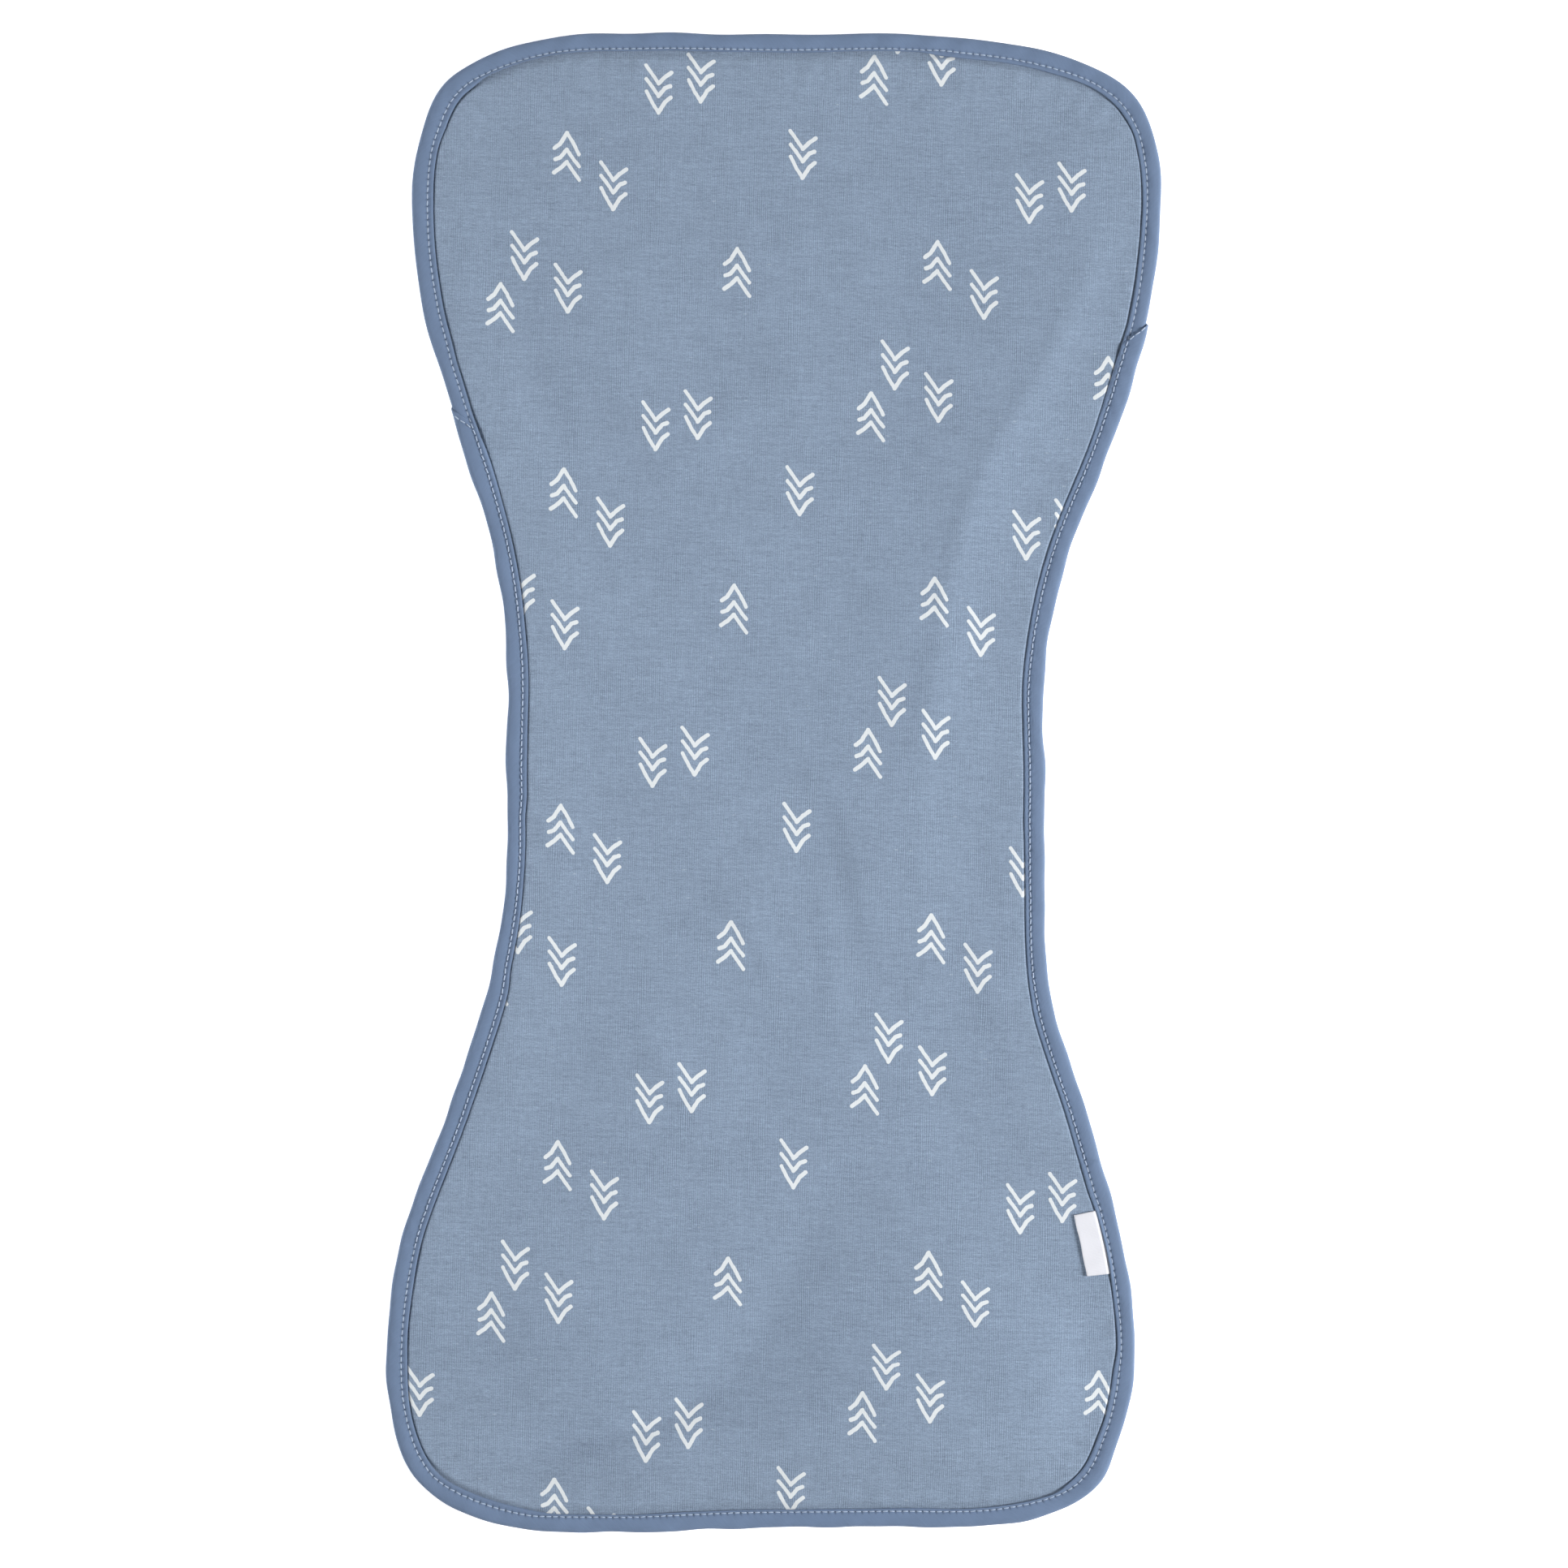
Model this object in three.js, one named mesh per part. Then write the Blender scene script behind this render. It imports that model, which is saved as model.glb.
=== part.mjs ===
// Burp cloth: a knit panel, wide at both ends and narrow where it lies over a shoulder, bound all
// round its edge in two lengths of folded bias tape, with a blank ribbon label caught in the seam.
// Millimetres, +Z up. The cloth lies flat on Z = 0 with its long way on Y and its printed face up,
// and the origin is under its middle.

import * as THREE from 'three';

// Thicknesses, and the clear space between neighbouring pieces
const GAP = 0.3;
const TAPE = 0.6;
const LAP = TAPE + GAP;
const EDGE_PLY = 1.4;
const BODY_PLY = 2.2;
const BOUND_EDGE = 2 * LAP + EDGE_PLY;

// Bias tape: how wide it shows, where its seam runs and how deep the seam pulls it in
const TAPE_WIDTH = 7.0;
const SEAM_INSET = 5.2;
const SEAM_DIP = 0.2;
const FOLD_ROUND = 1.3;

// Knit panel: how far its raw edge stays inside the tape's fold, and the parallel rings of its margin
const RAW_INSET = 2.2;
const MOUTH = TAPE_WIDTH + LAP;
const MARGIN_RINGS = [RAW_INSET, MOUTH, 10.5, 14, 18];
const FULL_PLY_AT = 10.5;
const MARGIN_END = MARGIN_RINGS.at(-1);
const MIDDLE_RINGS = [0.84, 0.68, 0.52, 0.36, 0.2, 0.06];
const SPINE_HALF = 165;

// Spacing along the edge, the finer spacing where a tape's end is cut on the slant, and the fineness
// with which lengths along the edge are measured
const STEP = 10;
const END_STEP = 4.5;
const EDGE_DIVISIONS = 1600;

// Joins of the two tapes: the lower tape's folded end lies over the upper tape's tucked end
const TUCK = 16;
const SLANT_FADE = 24;
const RISE_RUN = 22;
const RISE_LEVEL = 1;
const JOIN_POINTS = [
  { name: 'right', x: 121.8, y: 158.1, lowerRuns: 1 },
  { name: 'left', x: -111.9, y: 123.8, lowerRuns: -1 },
];

// Ribbon label: a folded ribbon of two layers, its root at the tape's inner edge
const LABEL = { x: 120.9, y: -149.7, length: 22, width: 6.8, ply: 0.4, apart: 0.3, lift: 0.5 };
const LABEL_STEPS = 6;

// Outline, clockwise from the top left: the two ends, then the two long sides
const END_REACH = 254;
const ENDS = [
  { x: -110, top: 239.2, bottom: -242.4 },
  { x: -84, top: 249.4, bottom: -252.8 },
  { x: -48, top: 252.2, bottom: -END_REACH },
  { x: -4, top: 252.8, bottom: -251.4 },
  { x: 42, top: END_REACH, bottom: -249.8 },
  { x: 84, top: 249.8, bottom: -247.8 },
  { x: 107, top: 242.0, bottom: -240.8 },
];
const SIDES = [
  { y: 231, left: 118.6, right: 118.7 },
  { y: 214, left: 125.2, right: 124.6 },
  { y: 190, left: 126.7, right: 125.6 },
  { y: 158, left: 122.6, right: 121.8 },
  { y: 120, left: 110.6, right: 112.0 },
  { y: 76, left: 96.5, right: 96.3 },
  { y: 40, left: 91.1, right: 90.4 },
  { y: 4, left: 90.4, right: 91.4 },
  { y: -32, left: 89.5, right: 92.2 },
  { y: -68, left: 94.0, right: 95.0 },
  { y: -112, left: 106.8, right: 109.5 },
  { y: -156, left: 121.6, right: 122.4 },
  { y: -190, left: 125.8, right: 126.6 },
  { y: -214, left: 124.4, right: 123.3 },
  { y: -232, left: 118.4, right: 116.4 },
];

// Soft folds that lift the panel off the table: where each runs, how high and how wide it is
const FOLDS = [
  { name: 'shoulder ridge', route: [[104, 184], [62, 112], [55, 41]], height: 1.8, reach: 17 },
  { name: 'centre crease', route: [[6, 6], [24, -6], [36, -40]], height: 1.0, reach: 12 },
  { name: 'left crease', route: [[-50, -76], [-26, -106]], height: 0.9, reach: 12 },
  { name: 'lower slope', route: [[38, -129], [-10, -185], [-74, -222]], height: 1.6, reach: 20 },
  { name: 'hem swell', route: [[22, -228], [36, -228]], height: 0.8, reach: 15 },
];
const FOLD_FREE = 12;
const FOLD_FULL = 26;

const FINISHES = {
  knit: new THREE.MeshStandardMaterial({ color: '#8ea0b6', roughness: 0.92, metalness: 0 }),
  tape: new THREE.MeshStandardMaterial({ color: '#6f83a3', roughness: 0.85, metalness: 0 }),
  ribbon: new THREE.MeshStandardMaterial({ color: '#e9ebf2', roughness: 0.55, metalness: 0 }),
};

/** Eases from 1 down to 0 as t goes from 0 to 1, and holds its end values outside. */
function easeDown(t) {
  return 0.5 + 0.5 * Math.cos(Math.PI * THREE.MathUtils.clamp(t, 0, 1));
}

/** The closed curve through the outline's points, clockwise seen from above. */
function outlineCurve() {
  const points = [
    ...ENDS.map((row) => [row.x, row.top]),
    ...SIDES.map((row) => [row.right, row.y]),
    ...ENDS.map((row) => [row.x, row.bottom]).reverse(),
    ...SIDES.map((row) => [-row.left, row.y]).reverse(),
  ];
  const curve = new THREE.CatmullRomCurve3(
    points.map(([x, y]) => new THREE.Vector3(x, y, 0)),
    true,
    'centripetal',
  );
  curve.arcLengthDivisions = EDGE_DIVISIONS;
  return curve;
}

const edge = outlineCurve();
const perimeter = edge.getLength();

/** Point at distance s along the edge and w inwards from it. */
function onMargin(s, w) {
  const u = THREE.MathUtils.euclideanModulo(s / perimeter, 1);
  const point = edge.getPointAt(u);
  const along = edge.getTangentAt(u);
  return new THREE.Vector2(point.x + along.y * w, point.y - along.x * w);
}

/** Distance along the edge of the place nearest to a point. */
function arcNear({ x, y }) {
  let best = { s: 0, gap: Infinity };
  for (let i = 0; i < EDGE_DIVISIONS; i += 1) {
    const s = (perimeter * i) / EDGE_DIVISIONS;
    const gap = onMargin(s, 0).distanceTo(new THREE.Vector2(x, y));
    if (gap < best.gap) {
      best = { s, gap };
    }
  }
  return best.s;
}

const joins = JOIN_POINTS.map((row) => ({ ...row, s: arcNear(row) }));
const [rightJoin, leftJoin] = joins;

/** Signed distance from a join, growing the way the lower tape runs. */
function pastJoin(join, s) {
  const half = perimeter / 2;
  return join.lowerRuns * (THREE.MathUtils.euclideanModulo(s - join.s + half, perimeter) - half);
}

/** 0 to 1: how far the layers have risen over the doubled tape near a join. */
function joinRise(s) {
  const low = -TAPE_WIDTH - RISE_LEVEL;
  const high = TUCK + RISE_LEVEL;
  const rises = joins.map((join) => {
    const u = pastJoin(join, s);
    return easeDown(Math.max(low - u, u - high) / RISE_RUN);
  });
  return Math.max(...rises);
}

/** Lift of the panel over its folds at a point, before the margin holds it down. */
function foldLift(point) {
  let lift = 0;
  for (const fold of FOLDS) {
    let nearest = Infinity;
    for (let i = 1; i < fold.route.length; i += 1) {
      const start = new THREE.Vector3(...fold.route[i - 1], 0);
      const end = new THREE.Vector3(...fold.route[i], 0);
      const at = new THREE.Vector3(point.x, point.y, 0);
      const foot = new THREE.Line3(start, end).closestPointToPoint(at, true, new THREE.Vector3());
      nearest = Math.min(nearest, foot.distanceTo(at));
    }
    lift = Math.max(lift, fold.height * easeDown(nearest / fold.reach));
  }
  return lift;
}

/** Height of the panel's underside at distance s along the edge and w in from it. */
function undersideAt(s, w, point) {
  const held = (LAP + LAP * joinRise(s)) * easeDown((w - MOUTH) / (MARGIN_END - MOUTH));
  const free = 1 - easeDown((w - FOLD_FREE) / (FOLD_FULL - FOLD_FREE));
  return held + foldLift(point) * free;
}

/** Thickness of the panel at distance w in from the edge. */
function plyAt(w) {
  const pressed = easeDown((w - MOUTH) / (FULL_PLY_AT - MOUTH));
  return BODY_PLY + (EDGE_PLY - BODY_PLY) * pressed;
}

/** Closed solid skinned over loops of points that match one to one, with both ends capped. */
function loftLoops(loops, capTriangles) {
  const count = loops[0].length;
  const last = (loops.length - 1) * count;
  const faces = [];
  for (let here = 0; here < last; here += count) {
    const next = here + count;
    for (let k = 0; k < count; k += 1) {
      const after = (k + 1) % count;
      faces.push(here + k, here + after, next + after);
      faces.push(here + k, next + after, next + k);
    }
  }
  for (const [a, b, c] of capTriangles) {
    faces.push(c, b, a);
    faces.push(last + a, last + b, last + c);
  }
  const positions = loops.flat().flatMap((point) => point.toArray());
  const geometry = new THREE.BufferGeometry();
  geometry.setAttribute('position', new THREE.Float32BufferAttribute(positions, 3));
  geometry.setIndex(faces);
  geometry.computeVertexNormals();
  return geometry;
}

/** Triangles that close a flat loop, wound the way the loop runs. */
function capOf(points) {
  const triangles = THREE.ShapeUtils.triangulateShape(points, []);
  return THREE.ShapeUtils.isClockWise(points) ? triangles.map(([a, b, c]) => [c, b, a]) : triangles;
}

/** Positions along the edge from start to end, in so many even steps. */
function spread(start, end, count) {
  return Array.from({ length: count + 1 }, (_, i) => start + ((end - start) * i) / count);
}

/** Positions along the edge from start to end, evenly spread no more than a step apart. */
function stations(start, end, step = STEP) {
  return spread(start, end, Math.ceil((end - start) / step));
}

/** Rungs that close a loop whose halves face each other across its first and middle points. */
function ladderOf(count) {
  const triangles = [];
  for (let i = 0; i < count / 2; i += 1) {
    const far = count - i;
    triangles.push([i, i + 1, far - 1], [i, far - 1, far % count]);
  }
  return triangles.filter(([a, b, c]) => a !== b && b !== c && c !== a);
}

/** Positions round the edge as two facing halves, from the top's middle by way of the bottom's. */
function facingStations() {
  const top = arcNear({ x: 0, y: END_REACH });
  const bottom = arcNear({ x: 0, y: -END_REACH });
  const count = Math.ceil(perimeter / 2 / STEP);
  const right = spread(top, bottom, count);
  const left = spread(bottom, top + perimeter, count);
  return [...right.slice(0, -1), ...left.slice(0, -1)];
}

/** The knit panel: one solid from its printed face, round its raw edge, to its underside. */
function panelGeometry() {
  const along = facingStations();
  const rim = along.map((s) => onMargin(s, MARGIN_END));
  const spine = rim.map(({ y }, i) => {
    const facing = rim[(rim.length - i) % rim.length];
    return new THREE.Vector2(0, THREE.MathUtils.clamp((y + facing.y) / 2, -SPINE_HALF, SPINE_HALF));
  });
  const margin = MARGIN_RINGS.map((w) => along.map((s) => {
    const drawnIn = w < MARGIN_END ? (LAP / 2) * joinRise(s) : 0;
    const point = onMargin(s, w + drawnIn);
    return { point, under: undersideAt(s, w, point), ply: plyAt(w) };
  }));
  const middle = MIDDLE_RINGS.map((share) => rim.map((start, i) => {
    const point = spine[i].clone().lerp(start, share);
    const w = MARGIN_END + point.distanceTo(start);
    return { point, under: undersideAt(0, w, point), ply: BODY_PLY };
  }));
  const rings = [...margin, ...middle];
  const faceOf = (ply) => rings.map((ring) => ring.map((row) => (
    new THREE.Vector3(row.point.x, row.point.y, row.under + ply * row.ply))));
  return loftLoops([...faceOf(1).reverse(), ...faceOf(0)], ladderOf(along.length));
}

// Section of the tape round the raw edge: w in from the fold, height z, and the side it lies on,
// -1 under the panel, 0 at the fold and 1 on top. First the outer skin, then the inner one.
const TAPE_SECTION = [
  { w: TAPE_WIDTH, z: 0, side: -1 },
  { w: FOLD_ROUND, z: 0, side: -1 },
  { w: FOLD_ROUND / 3, z: TAPE / 2, side: -1 },
  { w: 0, z: BOUND_EDGE / 2, side: 0 },
  { w: FOLD_ROUND / 3, z: BOUND_EDGE - TAPE / 2, side: 1 },
  { w: FOLD_ROUND + LAP, z: BOUND_EDGE, side: 1 },
  { w: SEAM_INSET, z: BOUND_EDGE - SEAM_DIP, side: 1 },
  { w: TAPE_WIDTH, z: BOUND_EDGE - SEAM_DIP / 2, side: 1 },
  { w: TAPE_WIDTH, z: BOUND_EDGE - TAPE, side: 1 },
  { w: FOLD_ROUND, z: BOUND_EDGE - TAPE, side: 1 },
  { w: TAPE, z: BOUND_EDGE / 2, side: 0 },
  { w: FOLD_ROUND, z: TAPE, side: -1 },
  { w: TAPE_WIDTH, z: TAPE, side: -1 },
];

/** Upper tape: it rises whole, and draws in, where its ends tuck inside the lower tape. */
function upperTapePoint(row, s) {
  const rise = LAP * joinRise(s);
  const flat = onMargin(s, row.w + rise / 2);
  return new THREE.Vector3(flat.x, flat.y, row.z + rise);
}

/** Lower tape: its slanted ends open out round the upper tape's ends. */
function lowerTapePoint(row, s) {
  const join = Math.abs(pastJoin(rightJoin, s)) < Math.abs(pastJoin(leftJoin, s)) ? rightJoin : leftJoin;
  const fade = Math.max(0, 1 - pastJoin(join, s) / SLANT_FADE);
  const slanted = s + join.lowerRuns * row.side * row.w * fade;
  const rise = LAP * joinRise(slanted);
  const flat = onMargin(slanted, row.w - rise / 2);
  return new THREE.Vector3(flat.x, flat.y, row.z + rise * (1 + row.side));
}

/** One length of tape, from its start to its end along the edge. */
function tapeGeometry(start, end, placePoint) {
  const fine = SLANT_FADE + TUCK;
  const along = [
    ...stations(start, start + fine, END_STEP),
    ...stations(start + fine, end - fine).slice(1),
    ...stations(end - fine, end, END_STEP).slice(1),
  ];
  const cap = capOf(TAPE_SECTION.map(({ w, z }) => new THREE.Vector2(w, z)));
  return loftLoops(along.map((s) => TAPE_SECTION.map((row) => placePoint(row, s))), cap);
}

/** Height of the panel's printed face in its margin, on the flats between its rings. */
function faceAt(s, w) {
  const last = MARGIN_RINGS.length - 1;
  const outer = THREE.MathUtils.clamp(MARGIN_RINGS.findLastIndex((ring) => ring <= w), 0, last - 1);
  const [near, far] = [MARGIN_RINGS[outer], MARGIN_RINGS[outer + 1]];
  const height = (ring) => undersideAt(s, ring, onMargin(s, ring)) + plyAt(ring);
  return THREE.MathUtils.lerp(height(near), height(far), (w - near) / (far - near));
}

/** The blank label: a ribbon folded at its free edge, its two layers side by side at the seam. */
function labelGeometry() {
  const root = TAPE_WIDTH + GAP;
  const bend = MARGIN_RINGS[2];
  const free = root + LABEL.width;
  const thick = 2 * LABEL.ply + LABEL.apart;
  const section = [
    { w: root, z: thick },
    { w: bend, z: thick },
    { w: free - LABEL.ply, z: thick },
    { w: free, z: thick / 2 },
    { w: free - LABEL.ply, z: 0 },
    { w: bend, z: 0 },
    { w: root, z: 0 },
    { w: root, z: LABEL.ply },
    { w: bend, z: LABEL.ply },
    { w: free - 2 * LABEL.ply, z: LABEL.ply },
    { w: free - 2 * LABEL.ply, z: thick - LABEL.ply },
    { w: bend, z: thick - LABEL.ply },
    { w: root, z: thick - LABEL.ply },
  ];
  const half = LABEL.length / 2;
  const middle = arcNear(LABEL);
  const loops = stations(middle - half, middle + half, LABEL.length / LABEL_STEPS).map((s) => (
    section.map(({ w, z }) => {
      const flat = onMargin(s, w);
      const lift = LABEL.lift * ((w - root) / LABEL.width) ** 2;
      return new THREE.Vector3(flat.x, flat.y, faceAt(s, w) + GAP + lift + z);
    })
  ));
  return loftLoops(loops, capOf(section.map(({ w, z }) => new THREE.Vector2(w, z))));
}

/** A named mesh of one finish. */
function piece(name, geometry, finish) {
  const mesh = new THREE.Mesh(geometry, finish);
  mesh.name = name;
  return mesh;
}

const upperStart = leftJoin.s - TUCK - perimeter;
const upperEnd = rightJoin.s + TUCK;

const burpCloth = new THREE.Group();
burpCloth.add(
  piece('panel', panelGeometry(), FINISHES.knit),
  piece('binding_upper', tapeGeometry(upperStart, upperEnd, upperTapePoint), FINISHES.tape),
  piece('binding_lower', tapeGeometry(rightJoin.s, leftJoin.s, lowerTapePoint), FINISHES.tape),
  piece('label', labelGeometry(), FINISHES.ribbon),
);

export default burpCloth;
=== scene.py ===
"""Burp cloth: a printed knit panel in bias tape, with its stitching and a blank ribbon label.

Sizes in the classes below are in millimetres, as a maker's are, and make_piece turns them to the
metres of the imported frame. Every piece lies where its CAD node lies, and rides on the one body.
"""

import logging
import math
from collections.abc import Sequence
from dataclasses import dataclass, field
from enum import Enum
from functools import cached_property

import bpy
import numpy as np
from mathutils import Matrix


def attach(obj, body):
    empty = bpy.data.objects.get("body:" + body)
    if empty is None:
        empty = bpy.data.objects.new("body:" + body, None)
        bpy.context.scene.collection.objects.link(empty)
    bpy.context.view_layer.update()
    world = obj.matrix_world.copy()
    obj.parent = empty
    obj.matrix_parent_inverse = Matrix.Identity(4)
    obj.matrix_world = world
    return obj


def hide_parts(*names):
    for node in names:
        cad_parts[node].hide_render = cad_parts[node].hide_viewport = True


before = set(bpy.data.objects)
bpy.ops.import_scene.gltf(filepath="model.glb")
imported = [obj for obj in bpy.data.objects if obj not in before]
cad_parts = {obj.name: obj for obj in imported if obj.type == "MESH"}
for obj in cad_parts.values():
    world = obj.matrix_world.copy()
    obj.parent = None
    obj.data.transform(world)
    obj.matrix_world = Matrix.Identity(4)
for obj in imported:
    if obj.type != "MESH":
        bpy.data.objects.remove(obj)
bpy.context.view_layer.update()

BODY = "root"
MM = 0.001

log = logging.getLogger("burp_cloth")


class Face(Enum):
    """The two faces of the cloth, by the way each one looks up or down."""

    PRINTED = 1
    UNDER = -1


class Way(Enum):
    """Which way a motif of the print points."""

    DOWN = 1
    UP = -1


class Runs(Enum):
    """The way the lower tape runs from a join, with the clockwise edge or against it."""

    CLOCKWISE = 1
    AGAINST = -1


def ease_down(t: np.ndarray | float) -> np.ndarray:
    """Eases from 1 to 0 as t goes from 0 to 1, and stays so beyond."""
    return 0.5 + 0.5 * np.cos(np.pi * np.clip(t, 0.0, 1.0))


def bell(distance: np.ndarray, reach: float) -> np.ndarray:
    """A soft bump: 1 at no distance, and about a third at its reach."""
    return np.exp(-((distance / reach) ** 2))


class Waver:
    """Smooth unevenness, the same every run: a few seeded waves added up."""

    SHORTEST = 0.65
    LONGEST = 1.6

    def __init__(self, seed: int, length: float, waves: int = 7) -> None:
        """Chooses the waves.

        Args:
            seed: Seed of the draw.
            length: Typical length of a wave, in millimetres.
            waves: How many waves are added.
        """
        draw = np.random.default_rng(seed)
        turn = draw.uniform(0.0, 2.0 * np.pi, waves)
        pace = 2.0 * np.pi / (length * draw.uniform(self.SHORTEST, self.LONGEST, waves))
        self.pace_x = pace * np.cos(turn)
        self.pace_y = pace * np.sin(turn)
        self.start = draw.uniform(0.0, 2.0 * np.pi, waves)

    def at(self, x: np.ndarray, y: np.ndarray | float = 0.0) -> np.ndarray:
        """Height of the waves, mostly between -1 and 1.

        Args:
            x: First coordinate.
            y: Second coordinate.

        Returns:
            The height at each place.
        """
        x, y = np.broadcast_arrays(np.asarray(x, float), np.asarray(y, float))
        total = np.zeros(x.shape)
        for pace_x, pace_y, start in zip(self.pace_x, self.pace_y, self.start):
            total += np.sin(pace_x * x + pace_y * y + start)
        return total / math.sqrt(len(self.start))


@dataclass(frozen=True)
class Join:
    """A place where the lower tape's folded end lies over the upper tape's tucked end.

    Branch back is how far behind the fold's edge the short row of stitches across it runs.
    """

    x: float
    y: float
    runs: Runs
    branch_back: float


@dataclass(frozen=True)
class Outline:
    """The cloth's edge, a closed curve through measured places, clockwise seen from above.

    Rows of ends are x, the top edge's y and the bottom edge's y. Rows of sides are y, the left
    edge's reach and the right edge's reach from the middle line.
    """

    ends: tuple[tuple[float, float, float], ...] = (
        (-110.0, 239.2, -242.4),
        (-84.0, 249.4, -252.8),
        (-48.0, 252.2, -254.0),
        (-4.0, 252.8, -251.4),
        (42.0, 254.0, -249.8),
        (84.0, 249.8, -247.8),
        (107.0, 242.0, -240.8),
    )
    sides: tuple[tuple[float, float, float], ...] = (
        (231.0, 118.6, 118.7),
        (214.0, 125.2, 124.6),
        (190.0, 126.7, 125.6),
        (158.0, 122.6, 121.8),
        (120.0, 110.6, 112.0),
        (76.0, 96.5, 96.3),
        (40.0, 91.1, 90.4),
        (4.0, 90.4, 91.4),
        (-32.0, 89.5, 92.2),
        (-68.0, 94.0, 95.0),
        (-112.0, 106.8, 109.5),
        (-156.0, 121.6, 122.4),
        (-190.0, 125.8, 126.6),
        (-214.0, 124.4, 123.3),
        (-232.0, 118.4, 116.4),
    )
    samples: int = 80

    @cached_property
    def _corners(self) -> np.ndarray:
        """The measured places in order round the edge."""
        top = [(x, high) for x, high, _ in self.ends]
        right = [(reach, y) for y, _, reach in self.sides]
        bottom = [(x, low) for x, _, low in reversed(self.ends)]
        left = [(-reach, y) for y, reach, _ in reversed(self.sides)]
        return np.array(top + right + bottom + left)

    @cached_property
    def _trace(self) -> np.ndarray:
        """Closely spaced points on the curve, by centripetal Catmull-Rom spans."""
        before = np.roll(self._corners, 1, axis=0)
        start = self._corners
        end = np.roll(self._corners, -1, axis=0)
        after = np.roll(self._corners, -2, axis=0)
        root = [np.sqrt(np.linalg.norm(b - a, axis=1))[:, None] for a, b in
                ((before, start), (start, end), (end, after))]
        leave = ((start - before) / root[0] - (end - before) / (root[0] + root[1])
                 + (end - start) / root[1]) * root[1]
        arrive = ((end - start) / root[1] - (after - start) / (root[1] + root[2])
                  + (after - end) / root[2]) * root[1]
        t = np.linspace(0.0, 1.0, self.samples, endpoint=False)[None, :, None]
        start, end, leave, arrive = (row[:, None, :] for row in (start, end, leave, arrive))
        spans = (start + leave * t
                 + (-3 * start + 3 * end - 2 * leave - arrive) * t ** 2
                 + (2 * start - 2 * end + leave + arrive) * t ** 3)
        return spans.reshape(-1, 2)

    @cached_property
    def _run(self) -> np.ndarray:
        """Distance along the edge at each traced point, and at the first one again."""
        closed = np.vstack([self._trace, self._trace[:1]])
        return np.concatenate([[0.0], np.cumsum(np.linalg.norm(np.diff(closed, axis=0), axis=1))])

    @cached_property
    def _heading(self) -> np.ndarray:
        """Unit direction of the edge at each traced point."""
        ahead = np.roll(self._trace, -1, axis=0) - np.roll(self._trace, 1, axis=0)
        return ahead / np.linalg.norm(ahead, axis=1)[:, None]

    @property
    def length(self) -> float:
        """Length of the whole edge."""
        return float(self._run[-1])

    def place(self, s: np.ndarray | float, w: np.ndarray | float) -> np.ndarray:
        """Points by distance along the edge and distance in from it.

        Args:
            s: Distance along the edge.
            w: Distance inwards, square to the edge.

        Returns:
            An array of x and y.
        """
        s, w = np.broadcast_arrays(np.asarray(s, float), np.asarray(w, float))
        at = np.mod(s, self.length)

        def read(rows: np.ndarray, axis: int) -> np.ndarray:
            """Reads a traced quantity between its samples."""
            return np.interp(at, self._run, np.append(rows[:, axis], rows[0, axis]))

        ahead_x, ahead_y = read(self._heading, 0), read(self._heading, 1)
        size = np.hypot(ahead_x, ahead_y)
        x = read(self._trace, 0) + w * ahead_y / size
        y = read(self._trace, 1) - w * ahead_x / size
        return np.stack([x, y], axis=-1)

    def near(self, x: float, y: float) -> float:
        """Distance along the edge of its point nearest to a place."""
        gap = np.hypot(self._trace[:, 0] - x, self._trace[:, 1] - y)
        return float(self._run[int(np.argmin(gap))])

    def area_inside(self, w: float) -> float:
        """Area within the line that runs w inside the edge, in square millimetres."""
        x, y = self.place(self._run[:-1], w).T
        return 0.5 * abs(float(np.dot(x, np.roll(y, 1)) - np.dot(y, np.roll(x, 1))))


@dataclass(frozen=True)
class Stretch:
    """A stretch of the edge, clockwise from one place to another, where the tape is sewn otherwise.

    Width is the tape that shows on the printed face and seam is the stitching's distance from the
    fold. Groove is 1 where the panel rises slowly beside the tape and 0 where it rises at once.
    """

    start: tuple[float, float]
    end: tuple[float, float]
    width: float
    seam: float
    groove: float = 0.0


class Seam:
    """The line of topstitching, measured along itself and cut into even stitches."""

    def __init__(self, outline: Outline, inset: float, pitch: float, samples: int = 8000) -> None:
        """Measures the seam.

        Args:
            outline: The cloth's edge.
            inset: How far in the seam runs.
            pitch: Length of a stitch with its gap, before it is fitted to the whole seam.
            samples: How many places are measured.
        """
        self.round = outline.length
        self.s = np.linspace(0.0, self.round, samples + 1)
        steps = np.linalg.norm(np.diff(outline.place(self.s, inset), axis=0), axis=1)
        self.run = np.concatenate([[0.0], np.cumsum(steps)])
        self.length = float(self.run[-1])
        self.count = round(self.length / pitch)
        self.pitch = self.length / self.count

    def distance(self, s: np.ndarray | float) -> np.ndarray:
        """Distance along the seam at a distance along the edge."""
        turns = np.floor(np.asarray(s) / self.round)
        return turns * self.length + np.interp(s - turns * self.round, self.s, self.run)

    def along(self, distance: np.ndarray | float) -> np.ndarray:
        """Distance along the edge at a distance along the seam."""
        turns = np.floor(np.asarray(distance) / self.length)
        return turns * self.round + np.interp(distance - turns * self.length, self.run, self.s)

    def hole(self, s: np.ndarray, reach: float) -> np.ndarray:
        """1 at a needle hole, dying away along the seam within the hole's reach."""
        stitches = self.distance(s) / self.pitch
        return bell((stitches - np.round(stitches)) * self.pitch, reach)


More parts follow.
